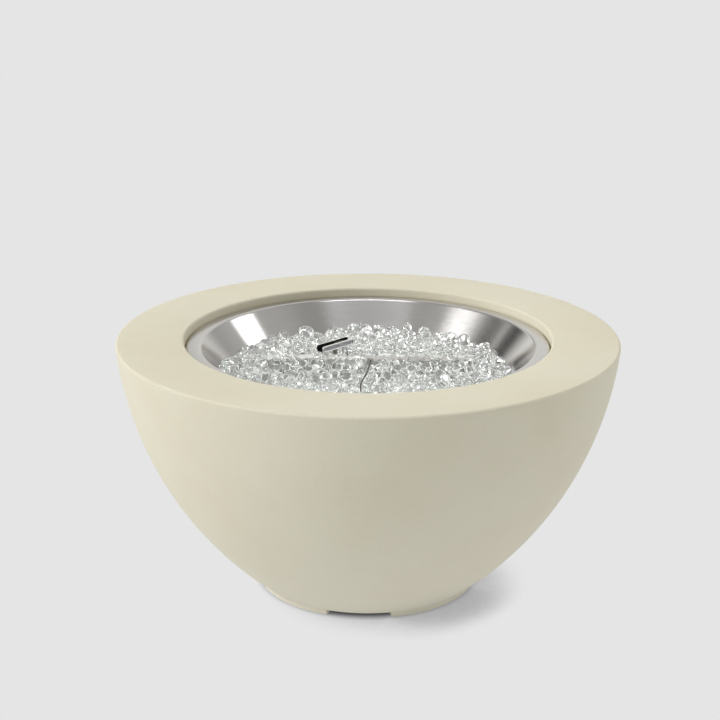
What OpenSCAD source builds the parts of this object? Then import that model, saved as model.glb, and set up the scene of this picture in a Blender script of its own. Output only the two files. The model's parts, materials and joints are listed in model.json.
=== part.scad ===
// Round cast-concrete gas fire bowl with a lift-out stainless burner pan under fire glass.
// Millimetres. The origin is the centre of the base on the ground, +Z is up,
// -Y is the front and the controls are at the back, on +Y.

/* [Bowl] */
// Outside diameter of the rim
rim_d = 743; // [715:1:780]
// Overall height
bowl_h = 381; // [365:1:420]
// Radius of the round side, seen in section
side_r = 540; // [500:5:620]
// Diameter of the underside, where the round side ends
base_d = 342; // [320:1:370]
// Thickness of the round wall
wall = 28; // [24:1:32]
// Thickness of the floor
floor_t = 30; // [24:1:40]
// Thickness of the rim deck
deck_t = 40; // [32:1:50]
// Rounding of the cast edges of the rim
edge_r = 4; // [2:0.5:6]
// Diameter of the opening for the pan
opening_d = 543; // [525:1:560]
// Diameter of the gas line hole in the floor
gas_hole_d = 76; // [60:1:90]

/* [Feet] */
// Outside diameter of the foot ring
foot_d = 334; // [310:1:340]
// Height of the foot ring
foot_h = 10; // [6:1:18]
// Width of the foot ring
foot_w = 50; // [30:1:70]
// Angle that each notch takes out of the foot ring
notch_angle = 33; // [15:1:50]
// Angle of the front notch away from the front
notch_turn = -4; // [-20:1:20]

/* [Burner pan] */
// Depth of the pan's flange under the rim
pan_drop = 12; // [8:1:20]
// Gap round the flange in the opening
pan_gap = 4.5; // [2:0.5:8]
// Width of the flange
flange_w = 19; // [15:1:26]
// Outside depth of the pan
pan_depth = 70; // [62:1:80]
// Lean of the pan's wall from upright, in degrees
pan_slope = 41.5; // [30:0.5:48]
// Thickness of the pan's sheet
pan_sheet = 1.2; // [0.8:0.1:2]
// Gap between the pan's wall and the ledge that carries the flange
ledge_gap = 3; // [2:0.5:6]

/* [Burner] */
// Length of the burner bar
bar_l = 300; // [240:1:330]
// Width and height of the burner bar
bar_w = 25; // [20:1:28]
// Wall of the burner bar and thickness of its end caps
bar_wall = 1.5; // [1:0.1:2]
// Height of the legs under the bar
leg_h = 19; // [15:1:24]
// Distance of each leg from the middle
leg_x = 105; // [80:1:115]
// Diameter of a flame port
port_d = 2.4; // [1.5:0.1:3]
// Pitch of the flame ports
port_pitch = 12; // [8:1:20]
// Outside diameter of the inlet nipple
nipple_d = 21; // [18:0.5:22]
// Outside diameter of the air mixer
mixer_d = 30; // [28:1:36]
// Length of the air mixer
mixer_l = 48; // [44:1:56]
// Diameter of the hose threads
thread_d = 15.9; // [14:0.1:17]

/* [Igniter and sensor] */
// Length of the igniter cage
cage_l = 68; // [60:1:80]
// Outside width of the igniter cage
cage_w = 15; // [13:0.5:18]
// Height of the igniter cage's sides
cage_h = 10; // [9.5:0.5:14]
// Height of the cage's underside over the pan's floor
cage_lift = 41; // [38:1:46]
// Place of the cage's middle, left or right
cage_x = -50; // [-60:1:-44]
// Place of the cage's middle, front or back
cage_y = 63; // [58:1:80]
// Turn of the cage from left-right, in degrees
cage_turn = 47; // [35:1:60]
// Diameter of the ceramic insulator
insulator_d = 8; // [7:0.5:9]
// Diameter of the spark electrode
electrode_d = 2.5; // [2:0.1:3]
// Diameter of the flame sensor
sensor_d = 2.4; // [2:0.1:3]

/* [Fire glass] */
// Depth of the loose glass at the pan's wall
glass_edge_h = 21; // [16:1:24]
// Depth of the loose glass in the middle
glass_mid_h = 29; // [26:1:32]
// Largest width of a gem
gem_d = 15; // [12:0.5:16]
// Difference between the largest and the smallest gem
gem_spread = 2; // [0:0.5:4]
// Pitch of the gems in the top layer
gem_pitch = 17.2; // [17:0.1:22]

/* [Control panel] */
// Height of the panel's middle over the ground
panel_z = 190; // [175:1:205]
// Width of the panel
panel_w = 116; // [112:1:124]
// Height of the panel
panel_h = 66; // [64:1:72]
// Thickness of the panel
panel_t = 2; // [1.5:0.1:3]
// Thickness of the gasket behind the panel
gasket_t = 1; // [0.5:0.1:2]
// Depth of the panel's seat in the wall
seat_depth = 9; // [8:0.5:11]
// Corner radius of the panel
panel_corner = 6; // [3:0.5:9]
// Width of the window in the wall behind the panel
window_w = 84; // [82:1:86]
// Height of the window in the wall behind the panel
window_h = 44; // [42:1:46]
// Distance of the knob and of the button from the panel's middle
control_x = 24; // [23:0.5:25]
// Diameter of the knob
knob_d = 38; // [34:1:42]
// Height of the knob
knob_h = 21.5; // [19:0.5:26]
// How far the knob pushes in
knob_travel = 4; // [2:0.5:4]
// Width and height of the valve body
valve_w = 30; // [27:1:32]
// Diameter of the valve stem
stem_d = 8; // [7:0.5:8]
// Diameter of the igniter's barrel
barrel_d = 22; // [21:0.5:24]
// Diameter of the igniter's push button
button_d = 18; // [17.5:0.5:18.5]
// How far the push button travels
button_travel = 3.5; // [2:0.5:4]

/* [Hidden] */
$fn = 96;

// Clearances of a tight bore, of a screw's hole and of a piece that lifts off
fit = 0.05;
hole_fit = 0.2;
free_fit = 0.3;
// How far a cut runs past a face
over = 1;

// The round side is one arc through the rim's edge and the edge of the underside
rim_r = rim_d / 2;
base_r = base_d / 2;
chord = [rim_r - base_r, bowl_h - foot_h];
chord_l = norm(chord);
arc_off = sqrt(pow(side_r, 2) - pow(chord_l / 2, 2));
arc_c = [
    (rim_r + base_r) / 2 - arc_off * chord.y / chord_l,
    (bowl_h + foot_h) / 2 + arc_off * chord.x / chord_l
];
function side_at(z, inset = 0) = arc_c.x + sqrt(pow(side_r - inset, 2) - pow(z - arc_c.y, 2));
floor_z = foot_h + floor_t;
deck_z = bowl_h - deck_t;
lip = [
    arc_c.x + sqrt(pow(side_r - edge_r, 2) - pow(bowl_h - edge_r - arc_c.y, 2)),
    bowl_h - edge_r
];
lip_end_z = arc_c.y + (lip.y - arc_c.y) * side_r / (side_r - edge_r);

// The pan hangs by its flange on a ledge in the opening
opening_r = opening_d / 2;
flange_top = bowl_h - pan_drop;
ledge_z = flange_top - pan_sheet;
flange_r = opening_r - pan_gap;
pan_in_r = flange_r - flange_w;
pan_under = flange_top - pan_depth;
pan_floor = pan_under + pan_sheet;
pan_lean = tan(pan_slope);
wall_run = pan_sheet / cos(pan_slope);
function pan_wall_at(z) = pan_in_r - (flange_top - z) * pan_lean;
ledge_r = pan_wall_at(ledge_z) + wall_run + ledge_gap;

// Heights of what stands in the pan and hangs under it
bar_under = pan_floor + leg_h;
bar_top = bar_under + bar_w;
nipple_r = nipple_d / 2;
nipple_wall = 2.5;
nipple_bore = nipple_r - nipple_wall;
nipple_drop = 14;
nipple_under = pan_under - nipple_drop;
locknut_af = 32;
locknut_t = 6;
mixer_gap = 0.5;
mixer_top = pan_under - locknut_t - mixer_gap;
mixer_hole_d = 10;
mixer_hole_z = 14;
mixer_under = mixer_top - mixer_l;
hex_af = 22;
hex_t = 10;
thread_r = thread_d / 2;
thread_l = 14;
gas_bore = 4;
spigot_l = 5;
spud_l = 11;
spud_r = 4;
spud_bore = 2.5;
jet_r = 0.8;
jet_l = 5;
orifice_under = mixer_under - hex_t;
union_z = orifice_under - thread_l;
port_rows = 5;
port_end = 20;
leg_l = 20;
screw_d = 4;
screw_head_d = 8;
screw_head_t = 2.5;
screw_under = 7;
screw_nut_af = 7;
screw_nut_t = 3.2;

// The cage stands on two legs, and the electrode rises through its web
cage_under = pan_floor + cage_lift;
cage_sheet = 1.5;
cage_corner = 3;
cage_leg_x = 22;
cage_leg_w = 12;
cage_foot_l = 14;
cage_screw_in = 2;
insulator_drop = 14;
insulator_under = pan_under - insulator_drop;
insulator_rise = 5;
insulator_top = cage_under + insulator_rise;
collar_d = 14;
collar_t = 3;
rod_tail = 16;
rod_under = insulator_under - rod_tail;
rod_rise = 8;
rod_top = cage_under + rod_rise;
rod_reach = 16;

// The loose glass, and the gems on it
glass_gap = 0.4;
bed_gap = 1;
slot_gap = 5.5;
glass_edge_z = pan_floor + glass_edge_h;
glass_mid_z = pan_floor + glass_mid_h;
glass_edge_r = pan_wall_at(glass_edge_z) - glass_gap / cos(pan_slope);
glass_floor_r = pan_wall_at(pan_floor) - glass_gap / cos(pan_slope);
gem_seat = 0.15;
gem_clear = 0.1;
gem_scatter = 0.7;
function glass_at(r) = glass_mid_z + (glass_edge_z - glass_mid_z) * min(1, r / glass_edge_r);
function chance(a, b, c) = let (v = sin(a * 127.1 + b * 311.7 + c * 74.7) * 4375.85) v - floor(v);

// The sensor comes up through the pan in front, lies over the gems and ends at the bar
sensor_r = sensor_d / 2;
sensor_rise = [-10, -138];
sensor_drop = 29;
sensor_under = pan_under - sensor_drop;
sensor_over = 0.4;
sensor_clear = 6;
grommet_wall = 2;
grommet_flange_w = 3.5;
grommet_flange_t = 2;
clip = [10, 1.5, 16];
clip_over = 3;
function over_gems(p) = glass_at(norm(p)) + gem_d + sensor_r + sensor_over;
sensor_tip_x = 4;
sensor_land_gap = 7.5;
sensor_land = [sensor_tip_x, -bar_w / 2 - sensor_land_gap];
sensor_tip = [sensor_tip_x, -bar_w / 2 - hole_fit, max(over_gems(sensor_land), bar_top + sensor_r)];
sensor_lies = [[-10, -134], [-10, -118], [-7, -95], [-1, -66], [1, -44], [3, -28]];
sensor_route = concat(
    [for (z = [sensor_under, pan_under, pan_floor + glass_edge_h]) [sensor_rise.x, sensor_rise.y, z]],
    [for (p = sensor_lies) [p.x, p.y, over_gems(p)]],
    [[sensor_land.x, sensor_land.y, sensor_tip.z], sensor_tip]
);

// The panel's own frame: its origin is on the round side, z points out of the wall
panel_tilt = asin((arc_c.y - panel_z) / side_r);
panel_r = side_at(panel_z);
function panel_dir(d) = [
    -d.x,
    d.y * sin(panel_tilt) + d.z * cos(panel_tilt),
    d.y * cos(panel_tilt) - d.z * sin(panel_tilt)
];
function panel_point(p) = [0, panel_r, panel_z] + panel_dir(p);
panel_back = -seat_depth + gasket_t;
panel_face = panel_back + panel_t;
recess_gap = 1;
panel_screw_in = 7;
panel_hole = [panel_w / 2 - panel_screw_in, panel_h / 2 - panel_screw_in];
screw_short = 2;
insert_d = 7;
insert_l = 14;

// The valve and the knob, along the panel's z
valve_x = -control_x;
valve_port_z = -(wall + 2 * thread_r);
port_wall = 10;
valve_under = valve_port_z - port_wall;
port_l = 16;
outlet_end = valve_under - port_l;
inlet_end = -valve_w / 2 - port_l;
collar_r = 7;
collar_l = 6;
collar_top = panel_face + collar_l;
valve_nut_af = 22;
valve_nut_t = 4;
stem_r = stem_d / 2;
stem_out = 16;
stem_top = collar_top + stem_out;
chamber_gap = 2.5;
chamber_r = stem_r + chamber_gap;
chamber_depth = 12;
chamber_l = 16;
chamber_top = panel_back - chamber_depth;
chamber_under = chamber_top - chamber_l;
shoulder_top = chamber_top - free_fit;
shoulder_t = 2;
cup_top = shoulder_top - shoulder_t;
cup_t = 3.5;
stem_end_gap = 1;
stem_under = chamber_under + knob_travel + stem_end_gap;
spring_wire_r = 0.45;
spring_gap = 0.2;
spring_turns = 4;
knob_gap = 2.5;
knob_under = panel_face + knob_gap + knob_travel;
knob_top = knob_under + knob_h;
knob_hollow = 5.5;
knob_skirt = 4;
knob_chamfer = 2;
knob_wall = 2;
skirt_w = 2.5;
grip_r = knob_d / 2 - skirt_w;
flutes = 12;
flute_r = 4;
flute_depth = 1;
flute_off = grip_r + flute_r - flute_depth;
pointer = [2, 8, 1];
pointer_in = 1;
pointer_y = grip_r - knob_chamfer - pointer.y - pointer_in;
set_screw_z = 5;
set_screw_l = 8;
dial_t = 1;
dial_w = 4;
dial_gap = 1;
sensor_nut_af = 10;
sensor_nut_t = 8;
sensor_lead_r = 1.6;

// The igniter, along the panel's z
bezel_w = 3;
bezel_d = barrel_d + 2 * bezel_w;
bezel_t = 2.5;
bezel_top = panel_face + bezel_t;
button_out = 1.5;
button_top = bezel_top + button_travel + button_out;
button_t = 8;
button_chamfer = 1;
button_under = button_top - button_t;
button_gap = 1;
shoulder_z = button_under - button_travel - button_gap;
battery_d = 14.5;
battery_l = 49;
nub_d = 5.5;
nub_l = 1.5;
battery_in = 3.5;
battery_top = shoulder_z - battery_in;
plunger_d = 8;
contact_gap = 0.6;
plunger_under = battery_top + nub_l + button_travel + contact_gap;
battery_gap = 0.4;
barrel_in = battery_top - battery_l - battery_gap;
barrel_floor = 3;
barrel_end = barrel_in - barrel_floor;
spark_stub_d = 7;
spark_stub_l = 8;
spark_end = barrel_end - spark_stub_l;
spark_nut_w = 2.5;
spark_nut_af = barrel_d + 2 * spark_nut_w;
spark_nut_t = 5;
spark_lead_r = 2.5;

// The gas inlet stands over the hole in the floor, with its elbow towards the valve
plate_lap = 20;
plate_d = gas_hole_d + 2 * plate_lap;
plate_t = 2;
plate_top = floor_z + plate_t;
elbow_rise = 20;
elbow_z = plate_top + elbow_rise;
elbow_end = 32;
inlet_drop = 20;
inlet_under = floor_z - inlet_drop;
inlet_end_gap = 0.5;
inlet_thread_l = inlet_drop - locknut_t - inlet_end_gap;
inlet_r = 9.5;
shank_step = 1;
shank_r = inlet_r + shank_step;
inlet_hex_af = 25;
plate_screw_in = 9;
plate_screw_r = plate_d / 2 - plate_screw_in;
plate_screw_turn = 30;
plate_screw_l = 18;

// Hoses and leads: their ends are tied to the fittings, and their routes are chosen by hand
hose_r = 6;
hose_tail = 32;
lead_tail = 16;
hose_nut_af = 20;
hose_nut_grip = 10;
hose_nut_back = 8;
hose_gap = 0.3;
valve_out = panel_point([valve_x, 0, outlet_end]);
valve_out_dir = panel_dir([0, 0, -1]);
valve_in = panel_point([valve_x, inlet_end, valve_port_z]);
valve_in_dir = panel_dir([0, -1, 0]);
burner_in = [0, 0, union_z];
bowl_in = [0, elbow_end, elbow_z];
burner_hose_route = concat(
    leaving(valve_out, valve_out_dir, hose_tail),
    [[20, 196, 236], [16, 160, 212], [12, 128, 176]],
    [[8, 94, 146], [4, 56, 132], [1, 22, 142], [0, 3, 166]],
    arriving(burner_in, [0, 0, -1], hose_tail)
);
inlet_hose_route = concat(
    leaving(bowl_in, [0, 1, 0], hose_tail),
    [[4, 100, 64], [10, 146, 74], [16, 190, 98]],
    arriving(valve_in, valve_in_dir, hose_tail)
);
boot_d = 10;
boot_l = 26;
boot_gap = 4;
boot_top = insulator_under - boot_gap;
socket_gap = 0.5;
spark_out = panel_point([control_x, 0, spark_end]);
spark_lead_route = concat(
    leaving(spark_out, panel_dir([0, 0, -1]), lead_tail),
    [[-30, 196, 238], [-38, 156, 228], [-45, 112, 216], [-49, 80, 220]],
    arriving([cage_x, cage_y, boot_top - boot_l], [0, 0, -1], lead_tail)
);
plug_d = 9;
plug_l = 24;
plug_drop = 17;
plug_top = pan_under - plug_drop;
sensor_out = panel_point([valve_x, valve_w / 2 + sensor_nut_t, valve_port_z]);
sensor_lead_route = concat(
    leaving(sensor_out, panel_dir([0, 1, 0]), lead_tail),
    [[28, 290, 272], [40, 250, 272], [58, 176, 240], [76, 92, 214]],
    [[72, 8, 202], [46, -70, 204], [10, -120, 212]],
    arriving([sensor_rise.x, sensor_rise.y, plug_top - plug_l], [0, 0, -1], lead_tail)
);
function leaving(p, d, l) = [for (s = [hose_gap, l / 2, l]) p + d * s];
function arriving(p, d, l) = [for (s = [l, l / 2, hose_gap]) p + d * s];

// Colours
concrete = "#dfdac7";
steel = "#b9bab8";
brass = "#c2a35b";
glass = "#dfe6e1";
black = "#26272a";
ceramic = "#f1ede2";

// A smooth curve through hand-chosen points
function spline(p, steps) = concat(
    [for (i = [0:len(p) - 2], k = [0:steps - 1]) curve_point(p, i, k / steps)],
    [p[len(p) - 1]]
);
function curve_point(p, i, t) = let (
    a = p[max(i - 1, 0)], b = p[i], c = p[i + 1], d = p[min(i + 2, len(p) - 1)]
) 0.5 * (2 * b + (c - a) * t + (2 * a - 5 * b + 4 * c - d) * t * t + (3 * b - 3 * c + d - a) * t * t * t);

// A round bar of flat sides swept along points
function unit(v) = v / norm(v);
function tangents(p) = [for (i = [0:len(p) - 1]) unit(p[min(i + 1, len(p) - 1)] - p[max(i - 1, 0)])];
function first_normal(t) = unit(cross(t, abs(t.z) < 0.9 ? [0, 0, 1] : [1, 0, 0]));
function square_to(n, t) = unit(n - t * (n * t));
function normals(t) = [
    for (i = 0, n = first_normal(t[0]); i < len(t); i = i + 1, n = square_to(n, t[min(i, len(t) - 1)])) n
];
module swept(points, r, sides) {
    t = tangents(points);
    n = normals(t);
    last = (len(points) - 1) * sides;
    skin = [
        for (i = [0:len(points) - 1], k = [0:sides - 1])
            points[i] + r * (cos(360 * k / sides) * n[i] + sin(360 * k / sides) * cross(t[i], n[i]))
    ];
    sides_a = [
        for (i = [0:len(points) - 2], k = [0:sides - 1])
            [i * sides + k, (i + 1) * sides + k, i * sides + (k + 1) % sides]
    ];
    sides_b = [
        for (i = [0:len(points) - 2], k = [0:sides - 1])
            [(i + 1) * sides + k, (i + 1) * sides + (k + 1) % sides, i * sides + (k + 1) % sides]
    ];
    ends = concat(
        [for (k = [1:sides - 2]) [0, k, k + 1]],
        [for (k = [1:sides - 2]) [last, last + k + 1, last + k]]
    );
    polyhedron(skin, concat(sides_a, sides_b, ends));
}

// A coil spring standing on the plane z = 0
module coil(r, height) {
    rings = 8;
    steps = spring_turns * rings;
    swept(
        [for (k = [0:steps]) [
            r * cos(360 * k / rings), r * sin(360 * k / rings),
            spring_wire_r + (height - 2 * spring_wire_r) * k / steps
        ]],
        spring_wire_r, 6
    );
}

// Shapes used by several pieces
module rounded_rect(w, h, r) {
    square([w - 2 * r, h], center = true);
    square([w, h - 2 * r], center = true);
    for (x = [-1, 1], y = [-1, 1]) translate([x * (w / 2 - r), y * (h / 2 - r)]) circle(r);
}

module hexagon(af, h) cylinder(d = af / cos(30), h = h, $fn = 6);

module ring(outer_r, inner_r, h) difference() {
    cylinder(r = outer_r, h = h);
    translate([0, 0, -over]) cylinder(r = inner_r, h = h + 2 * over);
}

module hex_nut(af, bore_r, h) difference() {
    hexagon(af, h);
    translate([0, 0, -over]) cylinder(r = bore_r, h = h + 2 * over);
}

// A cut for a round hole of radius r through what lies between z and z + h
module hole(r, z, h) translate([0, 0, z - over]) cylinder(r = r, h = h + 2 * over);

module at_panel() translate([0, panel_r, panel_z]) rotate([90 + panel_tilt, 0, 180]) children();

module at_valve() at_panel() translate([valve_x, 0, 0]) children();

module at_spark() at_panel() translate([control_x, 0, 0]) children();

module at_cage() translate([cage_x, cage_y, 0]) rotate(cage_turn) children();

module at_panel_screws() for (x = [-1, 1], y = [-1, 1])
    translate([x * panel_hole.x, y * panel_hole.y, 0]) children();

// A screw down through a foot and the pan's floor, with its nut under the pan
module pan_screw(foot_t) {
    head_z = pan_floor + foot_t;
    translate([0, 0, head_z]) cylinder(d = screw_head_d, h = screw_head_t);
    translate([0, 0, pan_under - screw_under])
        cylinder(d = screw_d, h = head_z - pan_under + screw_under + over);
    translate([0, 0, pan_under - screw_nut_t]) hex_nut(screw_nut_af, screw_d / 2 + fit, screw_nut_t);
}

module screw_hole(z, h) hole(screw_d / 2 + hole_fit, z, h);

// The bowl in section: the round side, the deck, the ledge and the floor
module bowl_outline() {
    intersection() {
        translate(arc_c) circle(side_r);
        translate([0, foot_h]) square([rim_r + over, lip_end_z - foot_h]);
    }
    translate([0, lip_end_z - over]) square([lip.x, bowl_h - lip_end_z + over]);
    translate(lip) circle(edge_r);
}

module bowl_hollow() {
    intersection() {
        translate(arc_c) circle(side_r - wall);
        translate([0, floor_z]) square([rim_r, deck_z - floor_z]);
    }
    translate([0, deck_z - over]) square([ledge_r, ledge_z - deck_z + 2 * over]);
    translate([0, ledge_z]) square([opening_r, pan_drop + pan_sheet + over]);
    difference() {
        translate([opening_r - over, bowl_h - edge_r]) square([edge_r + over, edge_r + over]);
        translate([opening_r + edge_r, bowl_h - edge_r]) circle(edge_r);
    }
}

module panel_recess() {
    translate([0, 0, -seat_depth]) linear_extrude(seat_depth + wall)
        rounded_rect(panel_w + 2 * recess_gap, panel_h + 2 * recess_gap, panel_corner + recess_gap);
    translate([-window_w / 2, -window_h / 2, -2 * wall]) cube([window_w, window_h, 2 * wall]);
    at_panel_screws() translate([0, 0, -seat_depth - insert_l])
        cylinder(d = insert_d + 2 * fit, h = insert_l + over);
}

module at_plate_screws() for (k = [0:2]) rotate(plate_screw_turn + 120 * k)
    translate([plate_screw_r, 0, 0]) children();

// The bowl is one casting, drawn as four solids that meet on flat faces
module bowl_ring(under, top) rotate_extrude() intersection() {
    difference() {
        bowl_outline();
        bowl_hollow();
    }
    translate([0, under]) square([rim_r + over, top - under]);
}

module bowl_shell() color(concrete) difference() {
    bowl_ring(floor_z, deck_z);
    at_panel() panel_recess();
}

module bowl_rim() color(concrete) bowl_ring(deck_z, bowl_h);

module bowl_floor() color(concrete) difference() {
    bowl_ring(foot_h, floor_z);
    hole(gas_hole_d / 2, foot_h, floor_t);
    at_plate_screws() translate([0, 0, floor_z - plate_screw_l])
        cylinder(d = screw_d + 2 * fit, h = plate_screw_l + over);
}

module bowl_feet() color(concrete) for (k = [0:3])
    rotate(notch_turn - 90 + notch_angle / 2 + 90 * k)
        rotate_extrude(angle = 90 - notch_angle)
            translate([foot_d / 2 - foot_w, 0]) square([foot_w, foot_h]);

// The pan and what stands in it
module burner_pan() color(steel) difference() {
    rotate_extrude() polygon([
        [0, pan_floor], [pan_wall_at(pan_floor), pan_floor], [pan_in_r, flange_top], [flange_r, flange_top],
        [flange_r, ledge_z], [pan_wall_at(ledge_z) + wall_run, ledge_z],
        [pan_wall_at(pan_under) + wall_run, pan_under], [0, pan_under]
    ]);
    hole(nipple_r + hole_fit, pan_under, pan_sheet);
    for (x = [-leg_x, leg_x]) translate([x, 0, 0]) screw_hole(pan_under, pan_sheet);
    at_cage() {
        at_cage_screws() screw_hole(pan_under, pan_sheet);
        hole(insulator_d / 2 + hole_fit, pan_under, pan_sheet);
    }
    translate([sensor_rise.x, sensor_rise.y, 0]) hole(sensor_r + grommet_wall, pan_under, pan_sheet);
}

module burner_bar() color(steel) difference() {
    translate([-bar_l / 2, -bar_w / 2, bar_under]) cube([bar_l, bar_w, bar_w]);
    translate([-bar_l / 2 - over, -bar_w / 2 + bar_wall, bar_under + bar_wall])
        cube([bar_l + 2 * over, bar_w - 2 * bar_wall, bar_w - 2 * bar_wall]);
    hole(nipple_r + fit, bar_under, bar_wall);
    ports = floor((bar_l / 2 - port_end) / port_pitch);
    for (k = [-ports:ports], y = [-port_rows, port_rows])
        translate([k * port_pitch, y, 0]) hole(port_d / 2, bar_top - bar_wall, bar_wall);
}

module burner_caps() color(steel) for (x = [-bar_l / 2 - bar_wall, bar_l / 2])
    translate([x, -bar_w / 2, bar_under]) cube([bar_wall, bar_w, bar_w]);

module burner_legs() color(steel) for (x = [-leg_x, leg_x]) difference() {
    translate([x - leg_l / 2, -bar_w / 2, pan_floor]) cube([leg_l, bar_w, leg_h]);
    translate([x - leg_l / 2 - over, -bar_w / 2 + bar_wall, pan_floor + bar_wall])
        cube([leg_l + 2 * over, bar_w, leg_h - 2 * bar_wall]);
    translate([x, 0, 0]) screw_hole(pan_floor, bar_wall);
}

module leg_fasteners() color(steel) for (x = [-leg_x, leg_x]) translate([x, 0, 0]) pan_screw(bar_wall);

module inlet_nipple() color(steel) translate([0, 0, nipple_under])
    ring(nipple_r, nipple_bore, bar_under + bar_wall - nipple_under);

module pan_locknuts() color(steel) for (z = [pan_under - locknut_t, pan_floor])
    translate([0, 0, z]) hex_nut(locknut_af, nipple_r + fit, locknut_t);

module air_mixer() color(brass) difference() {
    translate([0, 0, mixer_under]) cylinder(d = mixer_d, h = mixer_l);
    translate([0, 0, mixer_under - over]) cylinder(r = nipple_bore, h = mixer_l);
    translate([0, 0, nipple_under]) cylinder(r = nipple_r + fit, h = mixer_top - nipple_under + over);
    for (k = [0:1]) translate([0, 0, mixer_under + mixer_hole_z]) rotate([90, 0, 90 * k])
        cylinder(d = mixer_hole_d, h = 2 * mixer_d, center = true);
}

module orifice_fitting() color(brass) difference() {
    union() {
        translate([0, 0, orifice_under]) hexagon(hex_af, hex_t);
        translate([0, 0, union_z]) cylinder(r = thread_r, h = thread_l + over);
        translate([0, 0, mixer_under - over]) cylinder(r = nipple_bore - fit, h = spigot_l + over);
        translate([0, 0, mixer_under]) cylinder(r = spud_r, h = spud_l);
    }
    translate([0, 0, union_z - over])
        cylinder(r = spud_bore, h = mixer_under + spud_l - jet_l - union_z + over);
    translate([0, 0, mixer_under]) cylinder(r = jet_r, h = spud_l + over);
}

// The igniter cage: two round-cornered sides on a web, with two legs to the pan's floor
module at_cage_screws() for (s = [-1, 1])
    translate([s * (cage_leg_x + cage_foot_l / 2 + cage_screw_in), 0, 0]) children();

module igniter_cage() color(steel) at_cage() difference() {
    union() {
        for (y = [-cage_w / 2 + cage_sheet, cage_w / 2]) translate([0, y, cage_under + cage_h / 2])
            rotate([90, 0, 0]) linear_extrude(cage_sheet) rounded_rect(cage_l, cage_h, cage_corner);
        translate([-cage_l / 2 + cage_corner, -cage_w / 2 + cage_sheet / 2, cage_under])
            cube([cage_l - 2 * cage_corner, cage_w - cage_sheet, cage_sheet]);
        for (s = [-1, 1]) {
            translate([s * cage_leg_x - cage_sheet / 2, -cage_leg_w / 2, pan_floor])
                cube([cage_sheet, cage_leg_w, cage_lift + cage_sheet / 2]);
            translate([s * (cage_leg_x + cage_foot_l / 2) - cage_foot_l / 2, -cage_leg_w / 2, pan_floor])
                cube([cage_foot_l, cage_leg_w, cage_sheet]);
        }
    }
    hole(insulator_d / 2 + hole_fit, cage_under, cage_sheet);
    at_cage_screws() screw_hole(pan_floor, cage_sheet);
}

module cage_fasteners() color(steel) at_cage() at_cage_screws() pan_screw(cage_sheet);

module electrode_insulator() color(ceramic) at_cage() difference() {
    union() {
        translate([0, 0, insulator_under]) cylinder(d = insulator_d, h = insulator_top - insulator_under);
        translate([0, 0, pan_floor]) cylinder(d = collar_d, h = collar_t);
    }
    hole(electrode_d / 2 + fit, insulator_under, insulator_top - insulator_under);
}

module electrode_rod() color(steel) at_cage() {
    translate([0, 0, rod_under]) cylinder(d = electrode_d, h = rod_top - rod_under);
    translate([0, 0, rod_top]) sphere(d = electrode_d);
    translate([0, 0, rod_top]) rotate([0, 90, 0]) cylinder(d = electrode_d, h = rod_reach);
}

module flame_sensor() color(black) swept(spline(sensor_route, 3), sensor_r, 8);

module sensor_clip() color(steel) difference() {
    translate([sensor_tip.x - clip.x / 2, -bar_w / 2 - clip.y, sensor_tip.z + clip_over - clip.z])
        cube(clip);
    translate([sensor_tip.x, -bar_w / 2 + over, sensor_tip.z]) rotate([90, 0, 0])
        cylinder(r = sensor_r + hole_fit, h = clip.y + 2 * over);
}

module sensor_grommet() color(ceramic) translate([sensor_rise.x, sensor_rise.y, 0]) difference() {
    union() {
        hole(sensor_r + grommet_wall - hole_fit, pan_under, pan_sheet);
        translate([0, 0, pan_floor]) cylinder(r = sensor_r + grommet_flange_w, h = grommet_flange_t);
    }
    hole(sensor_r + hole_fit, pan_under - over, pan_sheet + over + grommet_flange_t);
}

// The loose glass under the gems, open where the burner, the cage and the sensor stand
bar_half = [bar_l / 2 + bar_wall, bar_w / 2];
cage_half = [cage_leg_x + cage_foot_l, cage_w / 2];
module bed_slot(half) translate([-half.x, -half.y, pan_floor - over])
    cube([2 * half.x, 2 * half.y, pan_depth]);

module glass_bed() color(glass) difference() {
    rotate_extrude() polygon([
        [0, pan_floor + glass_gap], [glass_floor_r + glass_gap * pan_lean, pan_floor + glass_gap],
        [glass_edge_r, glass_edge_z], [0, glass_mid_z]
    ]);
    bed_slot(bar_half + [bed_gap, slot_gap]);
    hole(locknut_af / cos(30) / 2 + bed_gap, pan_floor, glass_mid_h);
    at_cage() bed_slot(cage_half + [bed_gap, bed_gap]);
    translate([sensor_rise.x, sensor_rise.y, 0])
        hole(sensor_r + grommet_flange_w + bed_gap, pan_floor, glass_mid_h);
}

// Gems stand in staggered rows, each a little off its place and of its own size
function in_cage_frame(p) = let (d = p - [cage_x, cage_y])
    [d.x * cos(cage_turn) + d.y * sin(cage_turn), d.y * cos(cage_turn) - d.x * sin(cage_turn)];
function clear_of_box(p, half, gap) = abs(p.x) > half.x + gap || abs(p.y) > half.y + gap;
function gem_stands(p, r) =
    norm(p) + (r + glass_gap + free_fit) / cos(pan_slope) < pan_wall_at(glass_at(norm(p)) + r)
    && clear_of_box(p, bar_half + [0, clip.y], r + free_fit)
    && clear_of_box(in_cage_frame(p), cage_half + [0, bed_gap], r + free_fit)
    && norm(p - sensor_rise) > r + sensor_r + sensor_clear;
gem_count = ceil(pan_in_r / gem_pitch) + 1;
gem_row = gem_pitch * sin(60);
gem_shift = gem_scatter * ((gem_pitch - gem_d) / 2 - gem_clear);
gems = [
    for (j = [-gem_count - 2:gem_count + 2], i = [-gem_count:gem_count]) let (
        p = [
            gem_pitch * (i + 0.5 * abs(j % 2)) + gem_shift * (2 * chance(i, j, 1) - 1),
            gem_row * (j + 0.5) + gem_shift * (2 * chance(i, j, 2) - 1)
        ],
        r = (gem_d - gem_spread * chance(i, j, 3)) / 2
    ) if (gem_stands(p, r)) [p.x, p.y, r]
];
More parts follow.
